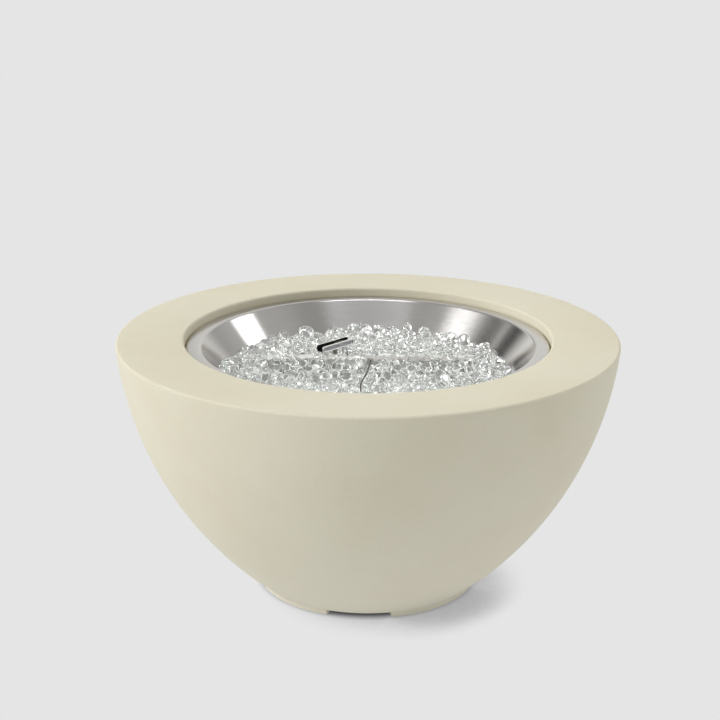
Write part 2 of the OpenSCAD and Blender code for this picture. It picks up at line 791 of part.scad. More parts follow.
module glass_gems() color(glass) for (g = gems)
    translate([g.x, g.y, glass_at(norm([g.x, g.y])) + g.z + gem_seat]) sphere(g.z, $fn = 24);

// The control panel and its fixings
module control_panel() color(steel) at_panel() difference() {
    translate([0, 0, panel_back]) linear_extrude(panel_t) rounded_rect(panel_w, panel_h, panel_corner);
    translate([valve_x, 0, 0]) hole(collar_r + hole_fit, panel_back, panel_t);
    translate([control_x, 0, 0]) hole(barrel_d / 2 + hole_fit, panel_back, panel_t);
    at_panel_screws() screw_hole(panel_back, panel_t);
}

module panel_gasket() color(black) at_panel() difference() {
    translate([0, 0, -seat_depth]) linear_extrude(gasket_t) rounded_rect(panel_w, panel_h, panel_corner);
    translate([-window_w / 2, -window_h / 2, -seat_depth - over])
        cube([window_w, window_h, gasket_t + 2 * over]);
    at_panel_screws() screw_hole(-seat_depth, gasket_t);
}

module panel_inserts() color(brass) at_panel() at_panel_screws() translate([0, 0, -seat_depth - insert_l])
    ring(insert_d / 2, screw_d / 2 + fit, insert_l);

module panel_screws() color(steel) at_panel() at_panel_screws() {
    translate([0, 0, panel_face]) cylinder(d = screw_head_d, h = screw_head_t);
    translate([0, 0, -seat_depth - insert_l + screw_short])
        cylinder(d = screw_d, h = panel_face + seat_depth + insert_l - screw_short + over);
}

// The valve, with its ports down the wall and into the bowl
module dial_ring() color(black) at_valve() translate([0, 0, panel_face])
    ring(knob_d / 2 + dial_w, valve_nut_af / 2 / cos(30) + dial_gap, dial_t);

module valve_body() color(brass) at_valve() difference() {
    union() {
        translate([-valve_w / 2, -valve_w / 2, valve_under])
            cube([valve_w, valve_w, panel_back - valve_under]);
        translate([0, 0, panel_back - over]) cylinder(r = collar_r, h = collar_top - panel_back + over);
        translate([0, 0, outlet_end]) cylinder(r = thread_r, h = valve_under - outlet_end + over);
        translate([0, 0, valve_port_z]) rotate([90, 0, 0]) cylinder(r = thread_r, h = -inlet_end);
    }
    hole(stem_r + fit, chamber_top, collar_top - chamber_top);
    translate([0, 0, chamber_under]) cylinder(r = chamber_r, h = chamber_top - chamber_under);
    translate([0, 0, outlet_end - over]) cylinder(r = gas_bore, h = valve_port_z - outlet_end + over);
    translate([0, 0, valve_port_z]) rotate([90, 0, 0]) cylinder(r = gas_bore, h = over - inlet_end);
}

module valve_nut() color(brass) at_valve() translate([0, 0, panel_face])
    hex_nut(valve_nut_af, collar_r + fit, valve_nut_t);

module valve_spring() color(steel) at_valve() translate([0, 0, chamber_under + spring_gap])
    coil((stem_r + chamber_r) / 2, cup_top - cup_t - chamber_under - 2 * spring_gap);

module valve_cup() color(steel) at_valve() translate([0, 0, cup_top - cup_t])
    ring(chamber_r - free_fit, stem_r + fit, cup_t - fit);

module valve_stem() color(steel) at_valve() {
    translate([0, 0, stem_under]) cylinder(r = stem_r, h = stem_top - stem_under);
    translate([0, 0, cup_top]) cylinder(r = chamber_r - 2 * free_fit, h = shoulder_t);
}

module knob() color(black) at_valve() translate([0, 0, knob_under]) difference() {
    union() {
        cylinder(d = knob_d, h = knob_skirt);
        translate([0, 0, knob_skirt - over])
            cylinder(r = grip_r, h = knob_h - knob_skirt - knob_chamfer + over);
        translate([0, 0, knob_h - knob_chamfer])
            cylinder(r1 = grip_r, r2 = grip_r - knob_chamfer, h = knob_chamfer);
    }
    for (k = [0:flutes - 1]) rotate(360 / flutes * (k + 0.5))
        translate([flute_off, 0, knob_skirt + over]) cylinder(r = flute_r, h = knob_h);
    translate([0, 0, -over]) cylinder(r = grip_r - knob_wall, h = knob_hollow + over);
    cylinder(r = stem_r + fit, h = stem_top - knob_under + hole_fit);
    translate([0, 0, knob_hollow + set_screw_z]) rotate([-90, 0, 0])
        cylinder(d = screw_d + 2 * fit, h = knob_d);
    translate([-pointer.x / 2 - hole_fit, pointer_y - hole_fit, knob_h - pointer.z])
        cube([pointer.x + 2 * hole_fit, pointer.y + 2 * hole_fit, pointer.z + over]);
}

module knob_pointer() color("white") at_valve()
    translate([-pointer.x / 2, pointer_y, knob_top - pointer.z]) cube(pointer);

module knob_set_screw() color(steel) at_valve()
    translate([0, stem_r + fit, knob_under + knob_hollow + set_screw_z])
        rotate([-90, 0, 0]) cylinder(d = screw_d, h = set_screw_l);

// The battery igniter
module spark_body() color(black) at_spark() difference() {
    union() {
        translate([0, 0, panel_face]) cylinder(d = bezel_d, h = bezel_t);
        translate([0, 0, barrel_end]) cylinder(d = barrel_d, h = panel_face - barrel_end + over);
        translate([0, 0, spark_end]) cylinder(d = spark_stub_d, h = barrel_end - spark_end + over);
    }
    translate([0, 0, shoulder_z]) cylinder(d = button_d + 2 * hole_fit, h = bezel_top - shoulder_z + over);
    translate([0, 0, barrel_in]) cylinder(d = battery_d + 2 * hole_fit, h = bezel_top - barrel_in);
}

module spark_nut() color(black) at_spark() translate([0, 0, panel_back - spark_nut_t])
    hex_nut(spark_nut_af, barrel_d / 2 + fit, spark_nut_t);

module battery() color("#3d6b57") at_spark() {
    translate([0, 0, battery_top - battery_l]) cylinder(d = battery_d, h = battery_l);
    translate([0, 0, battery_top - over]) cylinder(d = nub_d, h = nub_l + over);
}

module button_spring() color(steel) at_spark() translate([0, 0, battery_top + spring_gap])
    coil((plunger_d + battery_d) / 4, button_under - battery_top - 2 * spring_gap);

module igniter_button() color(black) at_spark() {
    translate([0, 0, button_under]) rotate_extrude() polygon([
        [0, 0], [button_d / 2, 0], [button_d / 2, button_t - button_chamfer],
        [button_d / 2 - button_chamfer, button_t], [0, button_t]
    ]);
    translate([0, 0, plunger_under]) cylinder(d = plunger_d, h = button_under - plunger_under + over);
}

// The gas inlet
module inlet_plate() color(steel) difference() {
    translate([0, 0, floor_z]) cylinder(d = plate_d, h = plate_t);
    hole(shank_r + hole_fit, floor_z, plate_t);
    at_plate_screws() screw_hole(floor_z, plate_t);
}

module plate_screws() color(steel) at_plate_screws() {
    translate([0, 0, plate_top]) cylinder(d = screw_head_d, h = screw_head_t);
    translate([0, 0, floor_z - plate_screw_l + screw_short])
        cylinder(d = screw_d, h = plate_screw_l + plate_t - screw_short + over);
}

module inlet_elbow() color(brass) difference() {
    union() {
        translate([0, 0, plate_top]) hexagon(inlet_hex_af, hex_t);
        translate([0, 0, inlet_under]) cylinder(r = inlet_r, h = inlet_drop);
        translate([0, 0, inlet_under + inlet_thread_l])
            cylinder(r = shank_r, h = elbow_z - inlet_under - inlet_thread_l);
        translate([0, 0, elbow_z]) sphere(r = shank_r);
        translate([0, 0, elbow_z]) rotate([-90, 0, 0]) cylinder(r = thread_r, h = elbow_end);
    }
    translate([0, 0, inlet_under - over]) cylinder(r = gas_bore, h = elbow_z - inlet_under + over);
    translate([0, 0, elbow_z]) rotate([-90, 0, 0]) cylinder(r = gas_bore, h = elbow_end + over);
}

module inlet_locknut() color(brass) translate([0, 0, floor_z - locknut_t])
    hex_nut(inlet_hex_af, shank_r + fit, locknut_t);

// A hose nut grips the end of a thread at z = 0, with the hose leaving along +z
module hose_nut(gap) difference() {
    translate([0, 0, -hose_nut_grip]) hexagon(hose_nut_af, hose_nut_grip + hose_nut_back);
    translate([0, 0, -hose_nut_grip - over]) cylinder(r = thread_r + gap, h = hose_nut_grip + over + fit);
    cylinder(r = hose_r + hole_fit, h = hose_nut_back + over);
}

module hose_nuts() color(brass) {
    at_valve() translate([0, 0, outlet_end]) rotate([180, 0, 0]) hose_nut(fit);
    at_valve() translate([0, inlet_end, valve_port_z]) rotate([90, 0, 0]) hose_nut(fit);
    translate(burner_in) rotate([180, 0, 0]) hose_nut(free_fit);
    translate(bowl_in) rotate([-90, 0, 0]) hose_nut(fit);
}

module inlet_hose() color(black) swept(spline(inlet_hose_route, 3), hose_r, 12);

module burner_hose() color(steel) swept(spline(burner_hose_route, 3), hose_r, 12);

// The leads and their ends
module spark_lead() color(black) swept(spline(spark_lead_route, 3), spark_lead_r, 8);

module spark_boot() color(black) translate([cage_x, cage_y, 0]) difference() {
    translate([0, 0, boot_top - boot_l]) cylinder(d = boot_d, h = boot_l);
    translate([0, 0, rod_under - socket_gap]) cylinder(r = electrode_d / 2 + free_fit, h = boot_l);
}

module sensor_lead() color(black) swept(spline(sensor_lead_route, 3), sensor_lead_r, 8);

module sensor_plug() color(black) translate([sensor_rise.x, sensor_rise.y, 0]) difference() {
    translate([0, 0, plug_top - plug_l]) cylinder(d = plug_d, h = plug_l);
    translate([0, 0, sensor_under - socket_gap]) cylinder(r = sensor_r + free_fit, h = plug_l);
}

module sensor_nut() color(brass) at_valve() translate([0, valve_w / 2, valve_port_z]) rotate([-90, 0, 0])
    hexagon(sensor_nut_af, sensor_nut_t);

bowl_shell();
bowl_rim();
bowl_floor();
bowl_feet();
burner_pan();
burner_bar();
burner_caps();
burner_legs();
leg_fasteners();
inlet_nipple();
pan_locknuts();
air_mixer();
orifice_fitting();
igniter_cage();
cage_fasteners();
electrode_insulator();
electrode_rod();
flame_sensor();
sensor_clip();
sensor_grommet();
glass_bed();
glass_gems();
control_panel();
panel_gasket();
panel_inserts();
panel_screws();
dial_ring();
valve_body();
valve_nut();
valve_spring();
valve_cup();
valve_stem();
knob();
knob_pointer();
knob_set_screw();
spark_body();
spark_nut();
battery();
button_spring();
igniter_button();
inlet_plate();
plate_screws();
inlet_elbow();
inlet_locknut();
hose_nuts();
inlet_hose();
burner_hose();
spark_lead();
spark_boot();
sensor_lead();
sensor_plug();
sensor_nut();
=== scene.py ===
import json
import math
import bpy
import bmesh
import numpy as np
from mathutils import Matrix, Vector, noise


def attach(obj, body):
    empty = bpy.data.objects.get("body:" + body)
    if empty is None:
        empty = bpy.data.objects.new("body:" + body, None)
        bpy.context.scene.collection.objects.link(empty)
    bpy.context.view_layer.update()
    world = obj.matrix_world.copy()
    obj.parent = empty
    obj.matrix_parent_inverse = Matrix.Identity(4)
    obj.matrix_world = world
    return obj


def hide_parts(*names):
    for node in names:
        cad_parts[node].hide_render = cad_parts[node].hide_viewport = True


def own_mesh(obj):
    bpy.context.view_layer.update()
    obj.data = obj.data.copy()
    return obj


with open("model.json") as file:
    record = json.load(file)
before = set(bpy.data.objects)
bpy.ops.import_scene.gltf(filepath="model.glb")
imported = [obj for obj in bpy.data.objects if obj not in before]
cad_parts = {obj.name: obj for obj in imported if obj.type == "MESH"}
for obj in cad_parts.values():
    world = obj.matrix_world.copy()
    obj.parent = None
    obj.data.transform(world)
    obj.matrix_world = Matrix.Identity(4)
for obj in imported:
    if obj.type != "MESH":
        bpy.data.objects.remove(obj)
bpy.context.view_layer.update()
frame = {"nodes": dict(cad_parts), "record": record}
scene = bpy.context.scene
mm = 0.001
print("frame loaded:", len(frame["nodes"]), "nodes")


def linear(code):  # sRGB hex to the linear colour that a shader takes
    levels = [int(code[i:i + 2], 16) / 255 for i in (1, 3, 5)]
    return [v / 12.92 if v <= 0.04045 else ((v + 0.055) / 1.055) ** 2.4 for v in levels] + [1.0]


def addNode(tree, kind, inputs=None, stops=None, **settings):
    made = tree.nodes.new("ShaderNode" + kind)
    for key, value in settings.items():
        setattr(made, key, value)
    for key, value in (inputs or {}).items():
        if isinstance(value, bpy.types.NodeSocket):
            tree.links.new(value, made.inputs[key])
        else:
            made.inputs[key].default_value = value
    if stops:
        ramp = made.color_ramp.elements
        ramp.remove(ramp[1])
        ramp[0].position, ramp[0].color = stops[0]
        for place, colour in stops[1:]:
            ramp.new(place).color = colour
    return made.outputs


def newMaterial(name, constants):
    made = bpy.data.materials.new(name)
    made.use_nodes = True
    for key, value in constants.items():
        made.node_tree.nodes["Principled BSDF"].inputs[key].default_value = value
    return made, made.node_tree


def feed(made, sockets):  # links what a material has worked out to its shader
    tree = made.node_tree
    for key, socket in sockets.items():
        tree.links.new(socket, tree.nodes["Principled BSDF"].inputs[key])
    return made


def grey(level):
    return [level, level, level, 1.0]


def perMetre(size):  # texture scale for a pattern of this many millimetres
    return 1 / (size * mm)


def ends(key, pair):  # two numbers for two inputs that follow each other
    return {key: pair[0], key + 1: pair[1]}


# Settings of a node that mixes two colours, and of one that multiplies them
mixed = {"data_type": "RGBA"}
multiplied = {"data_type": "RGBA", "blend_type": "MULTIPLY"}

# Camera and light
cameraView = {"place": (0, -2.3352, 1.0678), "turn": (72.7252, -0.1429, 0.3323), "lens": 82.058}
camera = bpy.data.objects.new("camera", bpy.data.cameras.new("camera"))
camera.location = cameraView["place"]
camera.rotation_euler = [math.radians(a) for a in cameraView["turn"]]
camera.data.lens = cameraView["lens"]
scene.collection.objects.link(camera)
scene.camera = camera
scene.view_settings.view_transform = "Standard"
scene.cycles.max_bounces = 64
scene.cycles.transmission_bounces = 56
scene.cycles.glossy_bounces = 48

studio = {
    "backdrop": "#E5E5E5",
    "key": {"azimuth": -98, "elevation": 32, "spread": 26, "strength": 1.39},
    "side": {"azimuth": 60.3, "elevation": 36, "spread": 17.5, "strength": 0.18},
    "fill": {"azimuth": 78, "elevation": 8, "spread": 30, "strength": 0.32},
    "tint": "#FFFEF7",
    # grey level of the walls by azimuth, in degrees from the back to the right: soft boxes and dark flags
    "walls": [(-180, 0.36), (-130, 1.1), (-112, 0.95), (-102, 0.6), (-90, 1.02), (-77, 1.22), (-69, 0.92),
              (-64, 0.24), (-54, 0.14), (-51, 0.13), (-48.2, 1.6), (-45.9, 0.1), (-36.3, 0.05), (-32.3, 0.5),
              (-26.8, 0.9), (-21.8, 1.02), (-18.8, 0.87), (-13.8, 0.38), (-6, 0.85), (4, 0.88), (24, 0.82),
              (34, 0.45), (46, 0.6), (80, 0.55), (100, 0.6), (128, 0.4), (155, 0.3), (180, 0.36)],
    "upper": {"level": 0.42, "from": 0.80, "to": 0.86},
    "throughGlass": 0.9,  # how far glass shows the plain backdrop instead of the soft boxes
    "overhead": {"level": 4.8, "half": (0.26, 0.1), "blur": 0.05},
}


def towards(azimuth, elevation):
    a, e = math.radians(azimuth), math.radians(elevation)
    return Vector((math.sin(a) * math.cos(e), math.cos(a) * math.cos(e), math.sin(e)))


def softSun(name, look):
    made = bpy.data.objects.new(name, bpy.data.lights.new(name, "SUN"))
    made.data.energy = look["strength"]
    made.data.angle = math.radians(look["spread"])
    made.rotation_euler = towards(look["azimuth"], look["elevation"]).to_track_quat("Z", "Y").to_euler()
    scene.collection.objects.link(made)


for lampName in ("key", "side", "fill"):
    softSun(lampName + "Light", studio[lampName])


def makeRoom():
    room = bpy.data.worlds.new("studioRoom")
    scene.world = room
    room.use_nodes = True
    tree = room.node_tree
    tree.nodes.clear()
    ray = addNode(tree, "TexCoord")["Generated"]
    axes = addNode(tree, "SeparateXYZ", {0: ray})
    azimuth = addNode(tree, "Math", {0: axes["X"], 1: axes["Y"]}, operation="ARCTAN2")[0]
    turn = addNode(tree, "Math", {0: azimuth, 1: 1 / math.tau, 2: 0.5}, operation="MULTIPLY_ADD")[0]
    stops = [((a + 180) / 360, grey(level)) for a, level in studio["walls"]]
    walls = addNode(tree, "ValToRGB", {0: turn}, stops=stops)[0]
    upper, box = studio["upper"], studio["overhead"]
    high = addNode(tree, "MapRange", {0: axes["Z"], 1: upper["from"], 2: upper["to"]})[0]
    level = addNode(tree, "Mix", {0: high, 6: walls, 7: grey(upper["level"])}, **mixed)[2]
    level = addNode(tree, "Mix", {0: 1.0, 6: level, 7: linear(studio["tint"])}, **multiplied)[2]
    path = addNode(tree, "LightPath")
    clear = addNode(tree, "Math", {0: path["Is Transmission Ray"], 1: studio["throughGlass"]},
                    operation="MULTIPLY")[0]
    level = addNode(tree, "Mix", {0: clear, 6: level, 7: linear(studio["backdrop"])}, **mixed)[2]
    lit = addNode(tree, "Math", {0: axes["Z"], 1: 0.0}, operation="GREATER_THAN")[0]
    for axis, half in zip(("X", "Y"), box["half"]):
        off = addNode(tree, "Math", {0: axes[axis]}, operation="ABSOLUTE")[0]
        within = addNode(tree, "MapRange", {0: off, 1: half + box["blur"], 2: half - box["blur"]})[0]
        lit = addNode(tree, "Math", {0: lit, 1: within}, operation="MULTIPLY")[0]
    level = addNode(tree, "Mix", {0: lit, 6: level, 7: grey(box["level"])}, **mixed)[2]
    seen = addNode(tree, "Mix", {0: path["Is Camera Ray"], 6: level, 7: linear(studio["backdrop"])},
                   **mixed)[2]
    light = addNode(tree, "Background", {"Color": seen})[0]
    addNode(tree, "OutputWorld", {"Surface": light})


makeRoom()

# A wide soft shadow away from the key light, and painted shade in the gaps under the bowl, darker nearer its
# axis
floorLook = {"half": 30.0, "reach": 0.085, "lean": (-0.95, 0.75, 0.5), "bounced": 0.7,
             "tones": [(0.36, 0.5), (0.40, 0.71), (0.44, 0.81), (0.49, 0.92), (0.59, 1.0)],
             "under": {"from": 177, "to": 150, "tone": 0.1}}


def makeFloor():
    h = floorLook["half"]
    mesh = bpy.data.meshes.new("studioFloor")
    mesh.from_pydata([(-h, -h, 0), (h, -h, 0), (h, h, 0), (-h, h, 0)], [], [(0, 1, 2, 3)])
    made = bpy.data.objects.new("studioFloor", mesh)
    scene.collection.objects.link(made)
    # Plain paper sweep: even where nothing stands near, with a soft shadow where the bowl meets it
    paper = bpy.data.materials.new("studioPaper")
    paper.use_nodes = True
    tree = paper.node_tree
    tree.nodes.clear()
    pale = linear(studio["backdrop"])
    lean = Vector(floorLook["lean"]).normalized()
    way = addNode(tree, "CombineXYZ", {0: lean.x, 1: lean.y, 2: lean.z})[0]
    near = addNode(tree, "AmbientOcclusion", {"Distance": floorLook["reach"], "Normal": way},
                   samples=20)["AO"]
    stops = [(place, [tone * v for v in pale[:3]] + [1.0]) for place, tone in floorLook["tones"]]
    shade = addNode(tree, "ValToRGB", {0: near}, stops=stops)[0]
    # painted shade under the bowl's base: the floor darkens by distance from the bowl's axis
    spot = addNode(tree, "TexCoord")["Object"]
    out = addNode(tree, "VectorMath", {0: spot}, operation="LENGTH")["Value"]
    gap = floorLook["under"]
    tone = addNode(tree, "MapRange", {0: out, 1: gap["from"] * mm, 2: gap["to"] * mm, 3: 1.0,
                                      4: gap["tone"]}, interpolation_type="SMOOTHSTEP")[0]
    shade = addNode(tree, "Mix", {0: 1.0, 6: shade, 7: tone}, **multiplied)[2]
    seen = addNode(tree, "LightPath")["Is Camera Ray"]
    share = addNode(tree, "MapRange", {0: seen, 3: floorLook["bounced"], 4: 1.0})[0]
    shade = addNode(tree, "Mix", {0: share, 6: pale, 7: shade}, **mixed)[2]
    bright = addNode(tree, "Emission", {"Color": shade})[0]
    addNode(tree, "OutputMaterial", {"Surface": bright})
    mesh.materials.append(paper)


makeFloor()
print("studio ready")


# Shapes
sharpFrom = 35  # degrees between two faces, from which their edge shades sharp


def cleanMesh(name, verts, faces):
    mesh = bpy.data.meshes.new(name)
    mesh.from_pydata(verts, [], faces)
    work = bmesh.new()
    work.from_mesh(mesh)
    bmesh.ops.remove_doubles(work, verts=work.verts, dist=1e-7)
    bmesh.ops.recalc_face_normals(work, faces=work.faces)
    work.to_mesh(mesh)
    work.free()
    return mesh


def newPiece(name, verts, faces, body, slot, *nodes, sharp=sharpFrom):
    mesh = cleanMesh(name, verts, faces)
    mesh.shade_smooth()
    mesh.set_sharp_from_angle(angle=math.radians(sharp))
    made = bpy.data.objects.new(name, mesh)
    scene.collection.objects.link(made)
    mesh.materials.append(finish[slot])
    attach(made, body)
    if nodes:
        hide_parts(*nodes)
    return made


def bent(corners, steps=6):  # corners are (radius, height, bend) in millimetres: each bend becomes an arc
    outline = []
    for i, (x, y, bend) in enumerate(corners):
        here = Vector((x, y))
        if not bend:
            outline.append(here)
            continue
        back = (Vector(corners[i - 1][:2]) - here).normalized()
        ahead = (Vector(corners[(i + 1) % len(corners)][:2]) - here).normalized()
        half = math.acos(max(-1, min(1, back.dot(ahead)))) / 2
        centre = here + (back + ahead).normalized() * bend / math.sin(half)
        first = here + back * bend / math.tan(half) - centre
        last = here + ahead * bend / math.tan(half) - centre
        sweep = math.atan2(first.x * last.y - first.y * last.x, first.dot(last))
        for k in range(steps + 1):
            a = sweep * k / steps
            outline.append(centre + Vector((first.x * math.cos(a) - first.y * math.sin(a),
                                            first.x * math.sin(a) + first.y * math.cos(a))))
    return outline


def roundFaces(steps, n):  # between outlines of n points each, all the way round
    faces = []
    for k in range(steps):
        here, after = k * n, (k + 1) % steps * n
        faces += [(here + i, after + i, after + (i + 1) % n, here + (i + 1) % n) for i in range(n)]
    return faces


def tubeFaces(rings, n):  # between rings of n points each, and over both ends
    faces = []
    last = (rings - 1) * n
    for here in range(0, last, n):
        faces += [(here + k, here + (k + 1) % n, here + n + (k + 1) % n, here + n + k) for k in range(n)]
    return faces + [tuple(range(n))[::-1], tuple(range(last, last + n))]


def spun(outline, segments):  # a closed outline turned about the bowl's axis
    verts = []
    for k in range(segments):
        a = math.tau * k / segments
        verts += [(p.x * mm * math.cos(a), p.x * mm * math.sin(a), p.y * mm) for p in outline]
    return verts, roundFaces(segments, len(outline))


def turned(outline, sides, place, way):  # a closed outline of (radius, height) turned about any axis
    along = Vector(way).normalized()
    side = along.orthogonal().normalized()
    other = along.cross(side)
    verts = []
    for k in range(sides):
        a = math.tau * k / sides
        flat = math.cos((a + math.pi / 6) % (math.pi / 3) - math.pi / 6)
        for r, h, *hexagon in outline:
            reach = r / flat if hexagon else r
            spot = Vector(place) + along * h + (side * math.cos(a) + other * math.sin(a)) * reach
            verts.append(spot * mm)
    return verts, roundFaces(sides, len(outline))


def joined(parts):  # several lists of corners and faces as one
    verts, faces = [], []
    for more, sides in parts:
        faces += [tuple(i + len(verts) for i in face) for face in sides]
        verts += list(more)
    return verts, faces


def curveThrough(points, steps):  # a smooth curve through given points
    made = []
    for i in range(len(points) - 1):
        a, b = Vector(points[max(i - 1, 0)]), Vector(points[i])
        c, d = Vector(points[i + 1]), Vector(points[min(i + 2, len(points) - 1)])
        for k in range(steps):
            t = k / steps
            made.append(0.5 * (2 * b + (c - a) * t + (2 * a - 5 * b + 4 * c - d) * t ** 2
                               + (3 * b - 3 * c + d - a) * t ** 3))
    return made + [Vector(points[-1])]


def tubeAlong(path, radius, sides):  # rings along a path, in millimetres, with closed ends
    verts = []
    side = None
    for i, p in enumerate(path):
        along = (path[min(i + 1, len(path) - 1)] - path[max(i - 1, 0)]).normalized()
        if side is None:
            side = along.cross(Vector((0, 0, 1)) if abs(along.z) < 0.9 else Vector((1, 0, 0))).normalized()
        side = (side - along * side.dot(along)).normalized()
        other = along.cross(side)
        for k in range(sides):
            a = math.tau * k / sides
            verts.append((p + (side * math.cos(a) + other * math.sin(a)) * radius) * mm)
    return verts, tubeFaces(len(path), sides)


def tubeUv(made, path, sides, radius):  # U once round the tube, V in the same measure along it
    runs = np.cumsum([0] + [(b - a).length for a, b in zip(path, path[1:])]) / (math.tau * radius)
    layer = made.data.uv_layers.new(name="along")
    for face in made.data.polygons:
        corners = [made.data.loops[i].vertex_index for i in face.loop_indices]
        wraps = {c % sides for c in corners} >= {0, sides - 1} and len(corners) == 4
        for i, c in zip(face.loop_indices, corners):
            u = c % sides / sides
            layer.data[i].uv = (u + 1 if wraps and c % sides == 0 else u, runs[c // sides])


# The igniter cage's sizes, which its finish follows too
cageShape = {"centre": (-50, 63), "turn": 47, "length": 68, "width": 15, "under": 341.2, "height": 10,
             "sheet": 1.5, "corner": 3.6, "hem": 2.1, "hemRise": 0.9, "legX": 22, "legWidth": 12, "foot": 14}

# The control panel's own frame, in millimetres
panelShape = {"middle": (0, 316.7097, 190), "tilt": 26.60802, "seat": (118, 68, 7), "seatDepth": 9,
              "window": (84, 44, 1), "cutOut": 30, "cutIn": -60, "knobX": -24, "buttonX": 24}


def panelWay(x, y, z):
    c, s = math.cos(math.radians(panelShape["tilt"])), math.sin(math.radians(panelShape["tilt"]))
    return Vector((-x, y * s + z * c, y * c - z * s))


def panelPoint(x, y, z):
    return Vector(panelShape["middle"]) + panelWay(x, y, z)


# Materials
noiseSpan = ends(1, (0.3, 0.7))  # where nearly all values of a noise lie


def castConcrete():
    # Fibre concrete cast in a smooth mould and sealed: matt, nearly even cream, with faint clouds,
    # a sandy grain and a few pinholes left by air, coloured darker inside as painted shade
    look = {"cream": "#DFDAC7", "cloud": "#DBD5C1", "pitShade": "#C9C2AC", "cloudSize": 160,
            "clouds": (0.42, 0.68), "grain": 2.4, "sand": (0.965, 1.03), "roughness": (0.72, 0.88),
            "relief": 0.12, "pore": 11, "poreFrom": 0.86, "poreReach": 0.085}
    made, tree = newMaterial("castConcrete", {"Specular IOR Level": 0.3})
    spot = addNode(tree, "TexCoord")["Object"]
    cloud = addNode(tree, "TexNoise", {"Vector": spot, "Scale": perMetre(look["cloudSize"]),
                                       "Detail": 4, "Roughness": 0.55})[0]
    cloudy = addNode(tree, "MapRange", {0: cloud, **ends(1, look["clouds"])})[0]
    base = addNode(tree, "Mix", {0: cloudy, 6: linear(look["cream"]), 7: linear(look["cloud"])}, **mixed)[2]
    grain = addNode(tree, "TexNoise", {"Vector": spot, "Scale": perMetre(look["grain"]),
                                       "Detail": 5, "Roughness": 0.65})[0]
    speck = addNode(tree, "MapRange", {0: grain, **noiseSpan, **ends(3, look["sand"])})[0]
    sandy = addNode(tree, "Mix", {0: 1.0, 6: base, 7: speck}, **multiplied)[2]
    pores = addNode(tree, "TexVoronoi", {"Vector": spot, "Scale": perMetre(look["pore"])})
    chosen = addNode(tree, "SeparateColor", {0: pores["Color"]})[0]
    reach = addNode(tree, "MapRange", {0: chosen, 1: look["poreFrom"], 4: look["poreReach"]})[0]
    hole = addNode(tree, "Math", {0: reach, 1: pores["Distance"]}, operation="GREATER_THAN")[0]
    # painted shade: each pinhole is coloured darker, for the shade that falls inside it
    colour = addNode(tree, "Mix", {0: hole, 6: sandy, 7: linear(look["pitShade"])}, **mixed)[2]
    rough = addNode(tree, "MapRange", {0: grain, **noiseSpan, **ends(3, look["roughness"])})[0]
    relief = addNode(tree, "Math", {0: grain, 1: hole}, operation="SUBTRACT")[0]
    bump = addNode(tree, "Bump", {"Height": relief, "Strength": 0.5, "Distance": look["relief"] * mm})[0]
    return feed(made, {"Base Color": colour, "Roughness": rough, "Normal": bump})


def brushedSteel(name, colour, line, about, roughness):
    # Stainless sheet brushed one way: fine scratches that stretch each highlight across the brushing.
    # The real scratches are near 0.1 mm: they are drawn coarser so that they show
    look = {"scratches": (0.25, 0.75), "tone": (0.92, 1.06), "gloss": (-0.05, 0.06), "relief": 0.05,
            "perTurn": 0.004}
    stretch = {"Anisotropic": 0.9, "Anisotropic Rotation": 0.25} if about == "round" else {"Anisotropic": 0.5}
    made, tree = newMaterial(name, {"Metallic": 1.0, **stretch})
    sockets = {}
    spot = addNode(tree, "TexCoord")["Object"]
    if about == "round":
        axes = addNode(tree, "SeparateXYZ", {0: spot})
        turn = addNode(tree, "Math", {0: axes[1], 1: axes[0]}, operation="ARCTAN2")[0]
        flat = addNode(tree, "CombineXYZ", {0: axes[0], 1: axes[1]})[0]
        out = addNode(tree, "VectorMath", {0: flat}, operation="LENGTH")["Value"]
        run = addNode(tree, "Math", {0: out, 1: axes[2]}, operation="ADD")[0]
        slow = addNode(tree, "Math", {0: turn, 1: look["perTurn"]}, operation="MULTIPLY")[0]
        spot = addNode(tree, "CombineXYZ", {0: slow, 1: run})[0]
        sockets["Tangent"] = addNode(tree, "Tangent", direction_type="RADIAL", axis="Z")[0]
    else:
        spot = addNode(tree, "VectorMath", {0: spot, 1: about}, operation="MULTIPLY")[0]
    scratch = addNode(tree, "TexNoise", {"Vector": spot, "Scale": perMetre(line), "Detail": 4,
                                         "Roughness": 0.7})[0]
    span = ends(1, look["scratches"])
    tone = addNode(tree, "MapRange", {0: scratch, **span, **ends(3, look["tone"])})[0]
    steel = addNode(tree, "Mix", {0: 1.0, 6: linear(colour), 7: tone}, **multiplied)[2]
    gloss = ends(3, [roughness + change for change in look["gloss"]])
    rough = addNode(tree, "MapRange", {0: scratch, **span, **gloss})[0]
    bump = addNode(tree, "Bump", {"Height": scratch, "Strength": 0.12, "Distance": look["relief"] * mm})[0]
    return feed(made, {**sockets, "Base Color": steel, "Roughness": rough, "Normal": bump})


def mottled(name, light, dark, size, roughness, constants, relief=0.0):
    # A plain finish with the small changes of tone, gloss and height that its making leaves
    made, tree = newMaterial(name, constants)
    spot = addNode(tree, "TexCoord")["Object"]
    change = addNode(tree, "TexNoise", {"Vector": spot, "Scale": perMetre(size), "Detail": 5,
                                        "Roughness": 0.6})[0]
    spread = addNode(tree, "MapRange", {0: change, **noiseSpan})[0]
    colour = addNode(tree, "Mix", {0: spread, 6: linear(light), 7: linear(dark)}, **mixed)[2]
    rough = addNode(tree, "MapRange", {0: change, **noiseSpan, 3: roughness - 0.06, 4: roughness + 0.06})[0]
    sockets = {"Base Color": colour, "Roughness": rough}
    if relief:
        sockets["Normal"] = addNode(tree, "Bump", {"Height": change, "Strength": 0.4,
                                                   "Distance": relief * mm})[0]
    return feed(made, sockets)


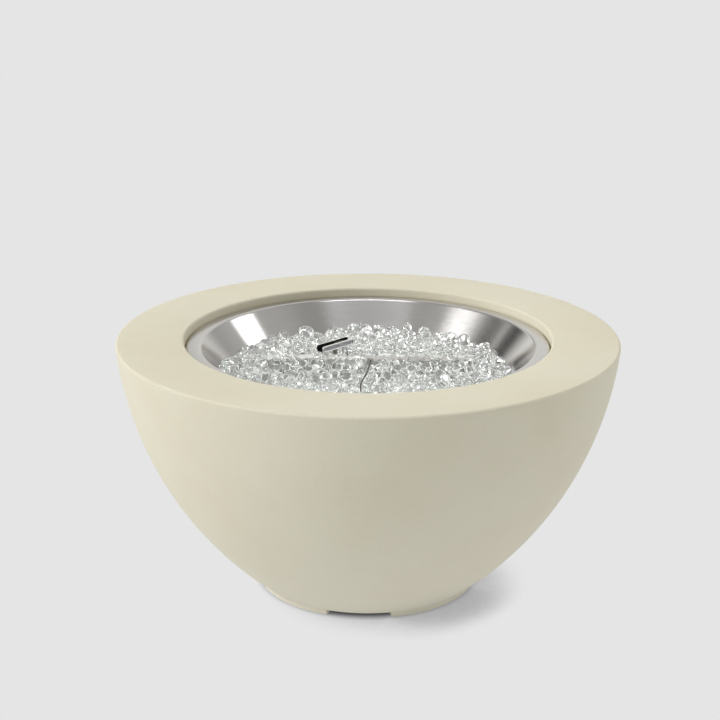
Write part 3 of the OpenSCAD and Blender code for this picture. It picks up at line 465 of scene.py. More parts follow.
def cageSteel():
    # Pressed stainless strip: satin faces, a painted highlight along the rolled hem, and near-black inside
    # the channel, painted as its shade and soot from the flame
    look = {"face": "#B3B1B7", "hem": "#F4F3F4", "sootAndShade": "#0C0B0B", "inside": 6.15, "highlightWidth": 1.9,
            "cloudSize": 3, "satin": (0.93, 1.05), "roughness": (0.32, 0.85)}
    s = cageShape
    half = {0: s["length"] / 2, 2: s["height"] / 2}
    made, tree = newMaterial("sootAndShadeCageSteel", {})
    spot = addNode(tree, "TexCoord")["Object"]
    centre = [v * mm for v in (*s["centre"], s["under"] + half[2])]
    moved = addNode(tree, "VectorMath", {0: spot, 1: centre}, operation="SUBTRACT")[0]
    local = addNode(tree, "VectorRotate", {"Vector": moved, "Angle": -math.radians(s["turn"])},
                    rotation_type="Z_AXIS")[0]
    axes = addNode(tree, "SeparateXYZ", {0: local})
    across = addNode(tree, "Math", {0: axes[1]}, operation="ABSOLUTE")[0]
    inside = addNode(tree, "Math", {0: across, 1: look["inside"] * mm}, operation="LESS_THAN")[0]
    channel = addNode(tree, "Math", {0: axes[2], 1: -half[2] * mm}, operation="GREATER_THAN")[0]
    inside = addNode(tree, "Math", {0: inside, 1: channel}, operation="MULTIPLY")[0]
    cloud = addNode(tree, "TexNoise", {"Vector": spot, "Scale": perMetre(look["cloudSize"]), "Detail": 4})[0]
    satin = addNode(tree, "MapRange", {0: cloud, **noiseSpan, **ends(3, look["satin"])})[0]
    hemHighlightEdges = []
    for axis in half:
        off = addNode(tree, "Math", {0: axes[axis]}, operation="ABSOLUTE")[0]
        limit = (half[axis] - look["highlightWidth"]) * mm
        hemHighlightEdges.append(addNode(tree, "Math", {0: off, 1: limit}, operation="GREATER_THAN")[0])
    hem = addNode(tree, "Math", {0: hemHighlightEdges[0], 1: hemHighlightEdges[1]}, operation="MAXIMUM")[0]
    # painted highlight: a near-white band along the plate's edges, for the light that the rolled hem catches
    sheet = addNode(tree, "Mix", {0: hem, 6: linear(look["face"]), 7: linear(look["hem"])}, **mixed)[2]
    steel = addNode(tree, "Mix", {0: 1.0, 6: sheet, 7: satin}, **multiplied)[2]
    # painted shade and soot: inside the channel the steel is coloured near-black and matt, for the channel's
    # shade and the soot from the flame
    colour = addNode(tree, "Mix", {0: inside, 6: steel, 7: linear(look["sootAndShade"])}, **mixed)[2]
    bare = addNode(tree, "Math", {0: 1.0, 1: inside}, operation="SUBTRACT")[0]
    rough = addNode(tree, "MapRange", {0: inside, **ends(3, look["roughness"])})[0]
    return feed(made, {"Base Color": colour, "Metallic": bare, "Roughness": rough})


def tumbledGlass():
    # Clear soda glass broken and tumbled round: bright rims and sparkles, and a faint green in a deep heap
    look = {"Base Color": linear("#FEFFFE"), "Roughness": 0.0, "Transmission Weight": 1.0, "IOR": 1.5}
    return newMaterial("clearTumbledGlass", look)[0]


def braidedSteel():
    # Fine stainless wires braided over a hose: a diamond weave of bright wires over dark gaps
    look = {"gap": "#3A3A3B", "wire": "#C8C8C6", "strands": 12}
    made, tree = newMaterial("braidedSteel", {"Metallic": 1.0, "Roughness": 0.35})
    around = addNode(tree, "UVMap", uv_map="along")[0]
    axes = addNode(tree, "SeparateXYZ", {0: around})
    waves = []
    for way in (1.0, -1.0):
        lean = addNode(tree, "Math", {0: axes[1], 1: way, 2: axes[0]}, operation="MULTIPLY_ADD")[0]
        turn = addNode(tree, "Math", {0: lean, 1: look["strands"] * math.tau}, operation="MULTIPLY")[0]
        waves.append(addNode(tree, "Math", {0: turn}, operation="SINE")[0])
    weave = addNode(tree, "Math", {0: waves[0], 1: waves[1]}, operation="MAXIMUM")[0]
    shown = addNode(tree, "MapRange", {0: weave, 1: -0.6, 2: 0.8})[0]
    colour = addNode(tree, "Mix", {0: shown, 6: linear(look["gap"]), 7: linear(look["wire"])}, **mixed)[2]
    bump = addNode(tree, "Bump", {"Height": shown, "Strength": 0.8, "Distance": 0.4 * mm})[0]
    return feed(made, {"Base Color": colour, "Normal": bump})


def dialPaint():
    # Matt black paint on a thin ring, with white screen-printed ticks over the knob's travel
    look = {"black": "#1B1B1C", "white": "#E6E4DE", "tick": 30, "half": 2.2, "travel": 210, "inner": 20.0,
            "outer": 22.2}
    made, tree = newMaterial("blackDialPaint", {"Roughness": 0.42})
    spot = addNode(tree, "TexCoord")["Object"]
    middle = panelPoint(panelShape["knobX"], 0, 0) * mm
    local = addNode(tree, "VectorMath", {0: spot, 1: middle}, operation="SUBTRACT")[0]
    along = []
    for axis in ((0, 1, 0), (-1, 0, 0)):
        shift = addNode(tree, "VectorMath", {0: local, 1: panelWay(*axis)}, operation="DOT_PRODUCT")
        along.append(shift["Value"])
    turn = addNode(tree, "Math", {0: along[1], 1: along[0]}, operation="ARCTAN2")[0]
    span = math.radians(look["half"])
    turn = addNode(tree, "Math", {0: turn, 1: math.tau - 2 * span, 2: -2 * span}, operation="WRAP")[0]
    swing = addNode(tree, "Math", {0: turn, 1: math.radians(look["tick"]) / 2}, operation="PINGPONG")[0]
    flat = addNode(tree, "CombineXYZ", {0: along[0], 1: along[1]})[0]
    out = addNode(tree, "VectorMath", {0: flat}, operation="LENGTH")["Value"]
    ink = addNode(tree, "Math", {0: swing, 1: span}, operation="LESS_THAN")[0]
    limits = ((turn, math.radians(look["travel"]) + span, "LESS_THAN"),
              (out, look["inner"] * mm, "GREATER_THAN"), (out, look["outer"] * mm, "LESS_THAN"))
    for value, limit, test in limits:
        held = addNode(tree, "Math", {0: value, 1: limit}, operation=test)[0]
        ink = addNode(tree, "Math", {0: ink, 1: held}, operation="MULTIPLY")[0]
    grain = addNode(tree, "TexNoise", {"Vector": spot, "Scale": perMetre(1.5), "Detail": 3})[0]
    wear = addNode(tree, "MapRange", {0: grain, **noiseSpan, 3: 0.9, 4: 1.1})[0]
    paint = addNode(tree, "Mix", {0: ink, 6: linear(look["black"]), 7: linear(look["white"])}, **mixed)[2]
    colour = addNode(tree, "Mix", {0: 1.0, 6: paint, 7: wear}, **multiplied)[2]
    return feed(made, {"Base Color": colour})


metal = {"Metallic": 1.0}
finish = {
    "cast_concrete": castConcrete(),
    "pan_steel": brushedSteel("brushedPanSteel", "#CCCACB", 0.9, "round", 0.17),
    "burner_steel": brushedSteel("satinBurnerSteel", "#D6D5D3", 0.8, (0.03, 1, 1), 0.36),
    "cage_steel": cageSteel(),
    "fastener_steel": mottled("zincPlatedSteel", "#CDCFD2", "#B4B6BA", 2, 0.28, metal),
    "brass_fitting": mottled("machinedBrass", "#C9A765", "#B08C4B", 6, 0.3, metal, 0.05),
    "white_ceramic": mottled("firedAlumina", "#EFEBDF", "#E2DCCC", 4, 0.45, {}, 0.05),
    "electrode_alloy": mottled("heatDarkenedAlloy", "#4A4541", "#6B625A", 5, 0.45, metal, 0.04),
    "panel_steel": brushedSteel("brushedPanelSteel", "#C6C5C4", 0.7, (0.02, 1, 1), 0.3),
    "seal_rubber": mottled("blackRubber", "#1D1D1E", "#262627", 3, 0.62, {}, 0.08),
    "dial_print": dialPaint(),
    "spring_steel": mottled("drawnSpringSteel", "#C3C4C6", "#A6A7AA", 2, 0.24, metal),
    "hose_steel": braidedSteel(),
    "knob_plastic": mottled("mouldedBlackPlastic", "#202021", "#29292A", 1.2, 0.5, {}, 0.05),
    "pointer_white": mottled("whiteMouldedPlastic", "#ECEAE4", "#E2DFD8", 4, 0.38, {}),
    "igniter_plastic": mottled("blackNylon", "#232324", "#2C2C2D", 2, 0.48, {}, 0.04),
    "battery_sleeve": mottled("shrunkBatterySleeve", "#2F6B49", "#285C3F", 9, 0.32, {}),
    "fire_glass": tumbledGlass(),
}
slotOf = {part["node"]: part["material_slot"] for part in frame["record"]["subparts"]}
for nodeName, shown in frame["nodes"].items():
    shown.data.materials.clear()
    shown.data.materials.append(finish[slotOf[nodeName]])
print("materials ready:", len(finish))


# Bowl
bowlShape = {"rim": 371.5, "base": 171, "height": 381, "foot": 10, "sideRadius": 540, "wall": 28, "floor": 30,
             "deck": 40, "edge": 4, "opening": 271.5, "ledge": 367.8, "ledgeRadius": 251.5,
             "groove": (3.3, 9), "gasHole": 38, "segments": 384}


def bowlOutline():
    s = bowlShape
    chord = Vector((s["rim"] - s["base"], s["height"] - s["foot"]))
    off = math.sqrt(s["sideRadius"] ** 2 - (chord.length / 2) ** 2)
    middle = Vector(((s["rim"] + s["base"]) / 2, (s["height"] + s["foot"]) / 2))
    centre = middle + Vector((-chord.y, chord.x)).normalized() * off

    def arc(radius, under, top, steps):
        heights = [under + (top - under) * k / steps for k in range(steps + 1)]
        return [(centre.x + math.sqrt(radius ** 2 - (z - centre.y) ** 2), z, 0) for z in heights]

    edge = s["edge"]
    lipZ = s["height"] - edge
    lip = Vector((arc(s["sideRadius"] - edge, lipZ, lipZ, 1)[0][0], lipZ))
    start = math.atan2(lip.y - centre.y, lip.x - centre.x)
    outside = arc(s["sideRadius"], s["foot"], centre.y + s["sideRadius"] * math.sin(start), 44)
    lipTurns = [start + (math.pi / 2 - start) * k / 7 for k in range(1, 8)]
    rim = [(lip.x + edge * math.cos(a), lip.y + edge * math.sin(a), 0) for a in lipTurns]
    wide, deep = s["groove"]
    seat = [(s["opening"], s["height"], edge), (s["opening"], s["ledge"] - deep, 0),
            (s["opening"] - wide, s["ledge"] - deep, 0), (s["opening"] - wide, s["ledge"], 0.8),
            (s["ledgeRadius"], s["ledge"], 1.5), (s["ledgeRadius"], s["height"] - s["deck"], 1.5)]
    inside = arc(s["sideRadius"] - s["wall"], s["height"] - s["deck"], s["foot"] + s["floor"], 30)
    hole = [(s["gasHole"], s["foot"] + s["floor"], 1.5), (s["gasHole"], s["foot"], 1.5)]
    return bent(outside + rim + seat + inside + hole)


def roundedBlock(width, height, corner, under, top):  # a block with round corners, in the panel's own frame
    ring = []
    for k in range(32):
        a = math.tau * (k + 0.5) / 32
        x = math.copysign(width / 2 - corner, math.cos(a)) + corner * math.cos(a)
        y = math.copysign(height / 2 - corner, math.sin(a)) + corner * math.sin(a)
        ring.append((x, y))
    return [panelPoint(x, y, z) * mm for z in (under, top) for x, y in ring], tubeFaces(2, len(ring))


def cutAway(made, verts, faces):
    cutter = bpy.data.objects.new("cutter", cleanMesh("cutter", verts, faces))
    scene.collection.objects.link(cutter)
    cut = made.modifiers.new("cut", "BOOLEAN")
    cut.object = cutter
    cut.solver = "EXACT"
    done = bpy.data.meshes.new_from_object(made.evaluated_get(bpy.context.evaluated_depsgraph_get()))
    made.modifiers.remove(cut)
    made.data = done
    bpy.data.objects.remove(cutter)


def makeBowl():
    made = newPiece("castBowl", *spun(bowlOutline(), bowlShape["segments"]), "bowl", "cast_concrete",
                    "bowl_shell", "bowl_rim", "bowl_floor")
    depth = panelShape["seatDepth"]
    cutAway(made, *roundedBlock(*panelShape["seat"], -depth, panelShape["cutOut"]))
    cutAway(made, *roundedBlock(*panelShape["window"], panelShape["cutIn"], -depth + 0.5))
    made.data.shade_smooth()
    made.data.set_sharp_from_angle(angle=math.radians(sharpFrom))


footShape = {"outside": 167, "width": 50, "height": 10, "notch": 33, "turn": -4, "steps": 20,
             "edge": 1.2, "bevelOver": 75,
             "blend": 10, "flare": 38.6, "sunk": 2.5}  # the cast fillet that runs out along the bowl's side


def footOutline():
    s = footShape
    swing = math.radians(90 - s["flare"])
    corner = s["height"] - (bowlShape["base"] - s["outside"]) / math.tan(swing)
    start = corner - s["blend"] * math.tan(swing / 2)
    fillet = []
    for k in range(7):
        a = swing * k / 6
        fillet.append((s["outside"] + s["blend"] * (1 - math.cos(a)), start + s["blend"] * math.sin(a)))
    inner, top = s["outside"] - s["width"], s["height"] + s["sunk"]
    return [(inner, 0), (s["outside"], 0)] + fillet + [(bowlShape["base"] - 0.8, top), (inner, top)]


def makeFeet():
    s = footShape
    outline = footOutline()
    parts = []
    for k in range(4):
        start = s["turn"] - 90 + s["notch"] / 2 + 90 * k
        verts = []
        for i in range(s["steps"] + 1):
            a = math.radians(start + (90 - s["notch"]) * i / s["steps"])
            verts += [(r * mm * math.cos(a), r * mm * math.sin(a), z * mm) for r, z in outline]
        parts.append((verts, tubeFaces(s["steps"] + 1, len(outline))))
    made = newPiece("castFeet", *joined(parts), "bowl", "cast_concrete", "bowl_feet")
    edge = made.modifiers.new("castEdge", "BEVEL")
    edge.width = s["edge"] * mm
    edge.segments = 3
    edge.limit_method = "ANGLE"
    edge.angle_limit = math.radians(s["bevelOver"])


makeBowl()
makeFeet()
print("cast bowl ready")

# Burner pan
panShape = {"flangeTop": 369, "flangeRadius": 267, "mouth": 248, "depth": 70, "slope": 41.5, "sheet": 1.2,
            "mouthBend": 7, "floorBend": 8, "hole": 10.7, "segments": 288}
panLean = math.tan(math.radians(panShape["slope"]))
panUnder = panShape["flangeTop"] - panShape["depth"]
panFloor = panUnder + panShape["sheet"]


def panWall(z):  # radius of the pan's inside at a height
    return panShape["mouth"] - (panShape["flangeTop"] - z) * panLean


def makePan():
    s = panShape
    run = s["sheet"] / math.cos(math.radians(s["slope"]))
    ledge = s["flangeTop"] - s["sheet"]
    outline = bent([
        (s["hole"], panFloor, 0), (panWall(panFloor), panFloor, s["floorBend"]),
        (s["mouth"], s["flangeTop"], s["mouthBend"]), (s["flangeRadius"], s["flangeTop"], 0.4),
        (s["flangeRadius"], ledge, 0.4), (panWall(ledge) + run, ledge, s["mouthBend"] - s["sheet"]),
        (panWall(panUnder) + run, panUnder, s["floorBend"] + s["sheet"]), (s["hole"], panUnder, 0)])
    newPiece("burnerPan", *spun(outline, s["segments"]), "burner", "pan_steel", "burner_pan", sharp=50)


makePan()
print("burner pan ready")

# Hoses and leads, fixed at both ends inside the bowl
hoseShape = {"radius": 6, "tail": 32, "sides": 24, "sleeve": (8.4, 26, 7.4),
             "valveOut": (-24, 0, -69.9), "valveIn": (-24, -31, -43.9),
             "bowlIn": (0, 32, 62), "burnerIn": (0, 0, 220.5),
             "toBurner": [(20, 196, 236), (16, 160, 212), (12, 128, 176), (8, 94, 146), (4, 56, 132),
                          (1, 22, 142), (0, 3, 166)],
             "toValve": [(4, 100, 64), (10, 146, 74), (16, 190, 98)]}
leadShape = {"tail": 16, "sides": 16, "sparkRadius": 2.5, "sensorRadius": 1.6,
             "sparkOut": (24, 0, -74.9), "sparkIn": (-50, 63, 255),
             "sensorOut": (-24, 23, -43.9), "sensorIn": (-10, -138, 258),
             "toElectrode": [(-30, 196, 238), (-38, 156, 228), (-45, 112, 216), (-49, 80, 220)],
             "toSensor": [(28, 290, 272), (40, 250, 272), (58, 176, 240), (76, 92, 214), (72, 8, 202),
                          (46, -70, 204), (10, -120, 212)]}


def heldRoute(start, out, middle, end, back, tail):  # leaves and arrives straight
    steps = (0.3, tail / 2, tail)
    first = [Vector(start) + Vector(out) * k for k in steps]
    last = [Vector(end) + Vector(back) * k for k in reversed(steps)]
    return curveThrough(first + [Vector(p) for p in middle] + last, 10)


def makeTube(name, path, radius, sides, slot, node):
    made = newPiece(name, *tubeAlong(path, radius, sides), "bowl", slot, node, sharp=60)
    tubeUv(made, path, sides, radius)
    length = sum((b - a).length for a, b in zip(path, path[1:]))
    print(name, round(length), "mm")


def makeHoses():
    s, t = hoseShape, leadShape
    down, inward = Vector((0, 0, -1)), panelWay(0, 0, -1)
    upPanel, downPanel = panelWay(0, 1, 0), panelWay(0, -1, 0)
    valveOut, valveIn = panelPoint(*s["valveOut"]), panelPoint(*s["valveIn"])
    path = heldRoute(valveOut, inward, s["toBurner"], s["burnerIn"], down, s["tail"])
    makeTube("braidedBurnerHose", path, s["radius"], s["sides"], "hose_steel", "burner_hose")
    path = heldRoute(s["bowlIn"], (0, 1, 0), s["toValve"], valveIn, downPanel, s["tail"])
    makeTube("rubberInletHose", path, s["radius"], s["sides"], "seal_rubber", "inlet_hose")
    path = heldRoute(panelPoint(*t["sparkOut"]), inward, t["toElectrode"], t["sparkIn"], down, t["tail"])
    makeTube("sparkLead", path, t["sparkRadius"], t["sides"], "seal_rubber", "spark_lead")
    path = heldRoute(panelPoint(*t["sensorOut"]), upPanel, t["toSensor"], t["sensorIn"], down, t["tail"])
    makeTube("sensorLead", path, t["sensorRadius"], t["sides"], "seal_rubber", "sensor_lead")
    # Crimped sleeves where each hose leaves its nut
    near, far, r = s["sleeve"]
    bore, neck = s["radius"] + 0.02, r - 0.6
    third = (far - near) / 3
    outline = [(bore, near), (r - 0.3, near), (r, near + 0.4), (r, near + third - 1.5),
               (neck, near + third - 0.7), (neck, near + third + 0.9), (r, near + third + 1.7),
               (r, far - third - 1.7), (neck, far - third - 0.9), (neck, far - third + 0.7),
               (r, far - third + 1.5), (r, far - 0.6), (r - 0.4, far), (bore, far)]
    nuts = [(valveOut, inward), (valveIn, downPanel), (s["bowlIn"], (0, 1, 0)), (s["burnerIn"], down)]
    sleeves = [turned(outline, 32, place, way) for place, way in nuts]
    newPiece("crimpedSleeves", *joined(sleeves), "bowl", "fastener_steel")


makeHoses()

# Springs behind the knob and the button
springShape = {"wire": 0.45, "turns": 5, "dead": 0.5, "steps": 20,
               "valve": {"x": panelShape["knobX"], "under": -35.8, "top": -26.0, "radius": 5.25,
                         "joint": "knob_push", "keep": 0.592},
               "button": {"x": panelShape["buttonX"], "under": -14.3, "top": -6.7, "radius": 5.625,
                          "joint": "button_press", "keep": 0.539}}


def makeSpring(name, node, spring):
    s = springShape
    low, high = spring["under"] + s["wire"], spring["top"] - s["wire"]
    path = []
    for k in range(s["turns"] * s["steps"] + 1):
        turn = k / s["steps"]
        rise = min(1, max(0, (turn - s["dead"]) / (s["turns"] - 2 * s["dead"])))
        a = math.tau * turn
        path.append(panelPoint(spring["x"] + spring["radius"] * math.cos(a), spring["radius"] * math.sin(a),
                               low + (high - low) * rise))
    made = newPiece(name, *tubeAlong(path, s["wire"], 8), "bowl", "spring_steel", node, sharp=60)
    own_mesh(made)


makeSpring("valveReturnSpring", "valve_spring", springShape["valve"])
makeSpring("buttonReturnSpring", "button_spring", springShape["button"])

# Panel screws: button heads with a hexagon socket
screwShape = {"x": 51, "y": 26, "face": -6, "head": 4, "headHeight": 2.5, "socket": 1.25, "shank": 2,
              "length": 15}


def makePanelScrews():
    s = screwShape
    r, h = s["head"], s["headHeight"]
    outline = [(0, -s["length"]), (s["shank"] - 0.4, -s["length"]), (s["shank"], 0.5 - s["length"]),
               (s["shank"], 0), (r, 0), (r, 0.24 * h), (0.96 * r, 0.48 * h), (0.84 * r, 0.74 * h),
               (0.66 * r, 0.92 * h), (0.48 * r, h),
               (s["socket"], h, True), (s["socket"], 0.4 * h, True), (0, 0.32 * h)]  # True: six-sided
    spots = [panelPoint(x * s["x"], y * s["y"], s["face"]) for x in (-1, 1) for y in (-1, 1)]
    screws = [turned(outline, 36, spot, panelWay(0, 0, 1)) for spot in spots]
    newPiece("panelScrews", *joined(screws), "bowl", "fastener_steel", "panel_screws")


makePanelScrews()
print("hoses, leads, springs and screws ready")


# Igniter cage: two round-cornered plates with a rolled hem, on a web with two legs
def cagePlate(way):  # way is 1 for the back plate and -1 for the front one
    s = cageShape
    face = s["width"] / 2
    hem, rise = s["hem"], s["hemRise"]
    # how far in from the edge, and how far out from the cage's middle
    section = [(hem + 0.3, face - 0.35), (hem, face - 0.1), (0.75 * hem, face + 0.35 * rise),
               (0.5 * hem, face + 0.5 * rise), (0.25 * hem, face + 0.35 * rise),
               (0, face - 0.1), (0, face - s["sheet"] + 0.3), (0.3, face - s["sheet"])]
    steps = 8
    n = 4 * (steps + 1)
    verts = []
    for inset, out in section:
        corner = s["corner"] - inset
        for k in range(n):
            quarter, part = divmod(k, steps + 1)
            a = math.pi / 2 * (quarter + part / steps)
            x = (1, -1, -1, 1)[quarter] * (s["length"] / 2 - s["corner"]) + corner * math.cos(a)
            z = (1, 1, -1, -1)[quarter] * (s["height"] / 2 - s["corner"]) + corner * math.sin(a)
            verts.append((x, way * out, s["under"] + s["height"] / 2 + z))
    return verts, tubeFaces(len(section), n)


def block(low, high):
    (x0, y0, z0), (x1, y1, z1) = low, high
    verts = [(x, y, z) for z in (z0, z1) for x, y in ((x0, y0), (x1, y0), (x1, y1), (x0, y1))]
    return verts, [(3, 2, 1, 0), (4, 5, 6, 7), (0, 1, 5, 4), (1, 2, 6, 5), (2, 3, 7, 6), (3, 0, 4, 7)]


def makeCage():
    s = cageShape
    reach, side = s["length"] / 2 - s["corner"], s["width"] / 2 - s["sheet"]
    t, w = s["sheet"], s["legWidth"] / 2
    parts = [cagePlate(1), cagePlate(-1), block((-reach, -side, s["under"]), (reach, side, s["under"] + t))]
    for way in (-1, 1):
        leg, toe = way * s["legX"], way * (s["legX"] + s["foot"])
        parts.append(block((leg - t / 2, -w, panFloor + t), (leg + t / 2, w, s["under"])))
        parts.append(block((min(leg, toe), -w, panFloor), (max(leg, toe), w, panFloor + t)))
    verts, faces = joined(parts)
    place = Matrix.Translation((*s["centre"], 0)) @ Matrix.Rotation(math.radians(s["turn"]), 4, "Z")
    newPiece("igniterCage", [place @ Vector(v) * mm for v in verts], faces, "burner", "cage_steel",
             "igniter_cage")


makeCage()
print("igniter cage ready")

# Flame sensor wire
glassShape = {"mid": panFloor + 29, "edge": panFloor + 21, "gem": 15, "lift": 1.6}


def glassTop(x, y):  # height of the wire over the gems
    share = min(1, math.hypot(x, y) / panWall(glassShape["edge"]))
    fall = (glassShape["edge"] - glassShape["mid"]) * share
    return glassShape["mid"] + fall + glassShape["gem"] + glassShape["lift"]


sensorShape = {"radius": 1.0, "rise": (-10, -138), "drop": 29, "tipX": 4, "land": -20, "tip": -12.7,
               "barUnder": 19, "barHeight": 25,
               "lies": [(-10, -134), (-10, -118), (-7, -95), (-1, -66), (1, -44), (3, -28)]}


def sensorRoute():
    s = sensorShape
    points = [(*s["rise"], z) for z in (panUnder - s["drop"], panUnder, glassShape["edge"])]
    points += [(x, y, glassTop(x, y)) for x, y in s["lies"]]
    tipZ = max(glassTop(s["tipX"], s["land"]), panFloor + s["barUnder"] + s["barHeight"] + s["radius"])
    return points + [(s["tipX"], s["land"], tipZ), (s["tipX"], s["tip"], tipZ)]


sensorPath = curveThrough(sensorRoute(), 8)
newPiece("flameSensorWire", *tubeAlong(sensorPath, sensorShape["radius"], 12), "burner", "electrode_alloy",
         "flame_sensor")
print("sensor wire ready")

# Fire glass
gemShape = {"seed": 11, "count": 1050, "smallest": 6.8, "largest": 11.5, "variants": 28, "roundness": 2,
            "squash": (1.14, 0.97, 0.82), "uneven": (0.93, 1.07), "spread": 195, "poured": (308, 385),
            "settle": 260, "drop": 0.5, "gap": 0.2, "perPiece": 600, "raked": 344, "rakedFrom": 60,
            "rakeSteps": 150, "bank": 6.5, "bankY": -26, "bankWidth": 16, "scatter": (4.5, 1.8, 2.2),
            # rows of gems laid on the bar and along its front: from, to, count, across, height, radii
            "laid": [(-148, -84, 6, -6.5, 344.2, (5.6, 7)), (-143, -86, 5, 6, 344.2, (5.6, 7)),
                     (-78, -4, 9, -7, 344.2, (3.6, 4.3)), (-76, -5, 9, 1.5, 344.2, (3, 3.5)),
                     (4, 104, 9, 8, 344.2, (4.4, 5.4)), (95, 147, 5, -6.5, 344.2, (5.6, 7)),
                     (113, 142, 3, 6, 344.2, (5.6, 7)), (-152, -9, 13, -18.3, 339, (4.8, 5.6)),
                     (-150, -12, 11, -28.5, 337.5, (5.8, 7)), (-146, -16, 10, -40, 335, (5.8, 7)),
                     (15, 152, 13, -18.6, 338.6, (4.8, 5.6)), (20, 150, 11, -28.8, 337, (5.6, 6.8)),
                     (16, 148, 10, -40.5, 334.6, (6.2, 7.6))]}
tiny = 1e-6  # keeps a length from being nought
# What the gems lie against, and the places over the bar and before the cage where none lie
obstacles = {
    "bar": {"centre": (0, 0, 322.2), "half": (151.5, 12.5, 22.0), "turn": 0},
    "barBare": {"centre": (50, -7, 405), "half": (40, 8, 60.5), "turn": 0},
    "cage": {"centre": (*cageShape["centre"], 437), "half": (39, 8.5, 102), "turn": cageShape["turn"]},
    "cageFront": {"centre": (-30, 44.5, 400), "half": (38, 20, 65), "turn": cageShape["turn"]},
    "insulator": {"centre": (*cageShape["centre"], 320.7), "half": (5, 5, 20.5), "turn": cageShape["turn"]},
}


def layRows(place, radius, draw):  # the first gems lie in listed rows: gives how many
    long, wide, tall = gemShape["scatter"]
    laid = 0
    for start, end, count, across, height, sizes in gemShape["laid"]:
        rows = slice(laid, laid + count)
        radius[rows] = draw.uniform(*sizes, count)
        along = np.linspace(start, end, count) + draw.uniform(-long, long, count)
        rise = 0.85 * radius[rows] + draw.uniform(0, tall, count)
        place[rows] = np.stack([along, across + draw.uniform(-wide, wide, count), height + rise], axis=1)
        laid += count
    return laid


def pushApart(place, radius, first, second):  # two gems that overlap share the way out
    away = place[first] - place[second]
    far = np.linalg.norm(away, axis=1) + tiny
    push = np.clip(radius[first] + radius[second] - far, 0, None) * 0.5
    move = away / far[:, None] * push[:, None]
    shift = np.zeros_like(place)
    np.add.at(shift, first, move)
    np.add.at(shift, second, -move)
    place += np.clip(shift, -3, 3) * 0.6


def offBoxes(place, radius):  # out of each box by the shortest way
    for box in obstacles.values():
        a = math.radians(box["turn"])
        spin = np.array([[math.cos(a), -math.sin(a), 0], [math.sin(a), math.cos(a), 0], [0, 0, 1]])
        local = (place - np.array(box["centre"])) @ spin
        half = np.array(box["half"])
        apart = local - np.clip(local, -half, half)
        length = np.linalg.norm(apart, axis=1)
        outside = (length > 0) & (length < radius)
        short = (radius[outside] - length[outside])[:, None]
        local[outside] += apart[outside] / length[outside, None] * short
        buried = length == 0
        if buried.any():
            depth = half - np.abs(local[buried]) + radius[buried, None]
            axis = np.argmin(depth, axis=1)
            rows = np.nonzero(buried)[0]
            sign = np.where(local[rows, axis] < 0, -1, 1)
            local[rows, axis] += sign * depth[np.arange(len(rows)), axis]
        place = local @ spin.T + np.array(box["centre"])
    return place


def offWire(place, radius, wire):
    toWire = place[:, None, :] - wire[None, :, :]
    reach = np.linalg.norm(toWire, axis=2)
    nearest = reach.argmin(axis=1)
    rows = np.arange(len(place))
    close = reach[rows, nearest]
    hit = close < radius + sensorShape["radius"]
    gone = toWire[rows, nearest] / (close[:, None] + tiny)
    place[hit] += gone[hit] * (radius[hit] + sensorShape["radius"] - close[hit])[:, None]


def insidePan(place, radius):
    lean = math.radians(panShape["slope"])
    span = np.hypot(place[:, 0], place[:, 1]) + tiny
    inside = (panWall(place[:, 2]) - span) * math.cos(lean)
    over = np.clip(radius + gemShape["gap"] - inside, 0, None)
    for axis in (0, 1):
        place[:, axis] -= place[:, axis] / span * over * math.cos(lean)
    place[:, 2] += over * math.sin(lean)
    place[:, 2] = np.maximum(place[:, 2], panFloor + radius + gemShape["gap"])


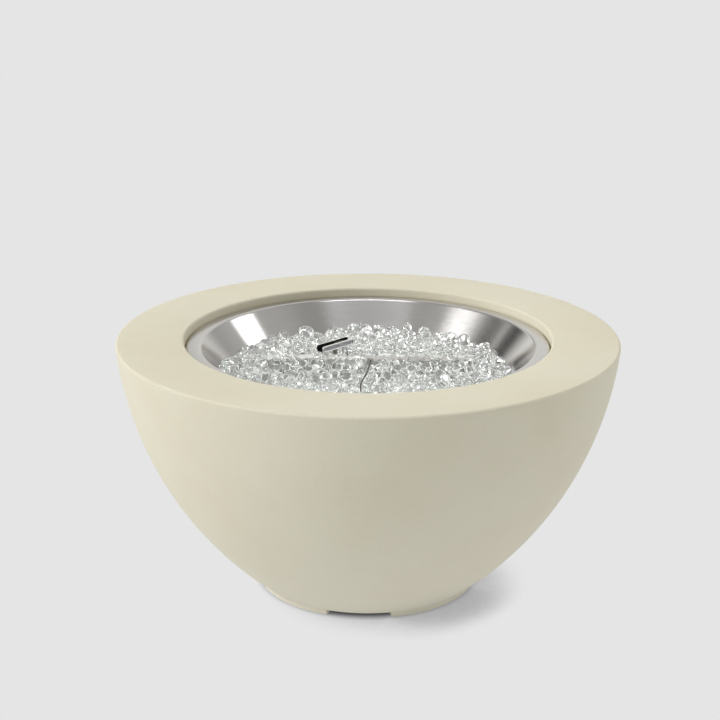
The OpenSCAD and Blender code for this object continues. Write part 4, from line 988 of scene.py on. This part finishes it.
def settledGems():
    s = gemShape
    draw = np.random.default_rng(s["seed"])
    n = s["count"]
    radius = draw.uniform(s["smallest"], s["largest"], n)
    angle = draw.uniform(0, math.tau, n)
    out = s["spread"] * np.sqrt(draw.uniform(0, 1, n))
    place = np.stack([out * np.cos(angle), out * np.sin(angle), draw.uniform(*s["poured"], n)], axis=1)
    laid = layRows(place, radius, draw)
    held = place[:laid].copy()
    wire = np.array([p for p in sensorPath if p.z > panFloor])
    for step in range(s["settle"]):
        if step % 6 == 0:  # which gems are near enough to meet soon
            gaps = ((place[:, None, :] - place[None, :, :]) ** 2).sum(axis=2)
            near = gaps < (radius[:, None] + radius[None, :] + 6) ** 2
            first, second = np.nonzero(np.triu(near, 1))
        place[:, 2] -= s["drop"] * (1 - 0.7 * step / s["settle"])
        bank = s["bank"] * np.exp(-((place[:, 1] - s["bankY"]) / s["bankWidth"]) ** 2)
        rake = s["raked"] + bank + max(0, s["rakedFrom"] * (1 - step / s["rakeSteps"]))
        place[:, 2] = np.minimum(place[:, 2], rake - 0.9 * radius)
        pushApart(place, radius, first, second)
        place = offBoxes(place, radius)
        offWire(place, radius, wire)
        insidePan(place, radius)
        place[:laid] = held
    return place, radius, draw


def pebbles():  # a few broken and tumbled shapes, as unit pebbles
    work = bmesh.new()
    bmesh.ops.create_icosphere(work, subdivisions=gemShape["roundness"], radius=1.0)
    ball = [v.co.copy() for v in work.verts]
    faces = np.array([[v.index for v in f.verts] for f in work.faces])
    work.free()
    shapes = []
    for k in range(gemShape["variants"]):
        seed = Vector((k * 7.3, k * 3.1, k * 5.7))
        swell = [1 + 0.14 * noise.noise(p * 0.8 + seed) + 0.03 * noise.noise(p * 1.7 + seed) for p in ball]
        shapes.append([p * more for p, more in zip(ball, swell)])
    return np.array(shapes), faces


def makeGems():
    s = gemShape
    place, radius, draw = settledGems()
    order = np.argsort(-place[:, 2])
    shape, triangles = pebbles()
    print("gems settled, top at", round(float((place[:, 2] + radius).max()), 1), "mm")
    for layer, node in enumerate(("glass_gems", "glass_bed")):  # the top gems, then those under them
        verts, faces, count = [], [], 0
        for g in order[layer * s["perPiece"]:(layer + 1) * s["perPiece"]]:
            angle = draw.uniform(0, math.tau)
            axis = Vector(draw.normal(size=3)).normalized()
            turn = np.array(Matrix.Rotation(angle, 3, axis))
            stretch = np.array(s["squash"]) * draw.uniform(*s["uneven"], 3) * radius[g]
            pebble = shape[draw.integers(s["variants"])] * stretch
            verts.append(pebble @ turn.T + place[g])
            faces.append(triangles + count)
            count += len(pebble)
        newPiece("glassGems%d" % (layer + 1), np.concatenate(verts) * mm, np.concatenate(faces).tolist(),
                 "burner", "fire_glass", node, sharp=180)


makeGems()
print("fire glass ready")
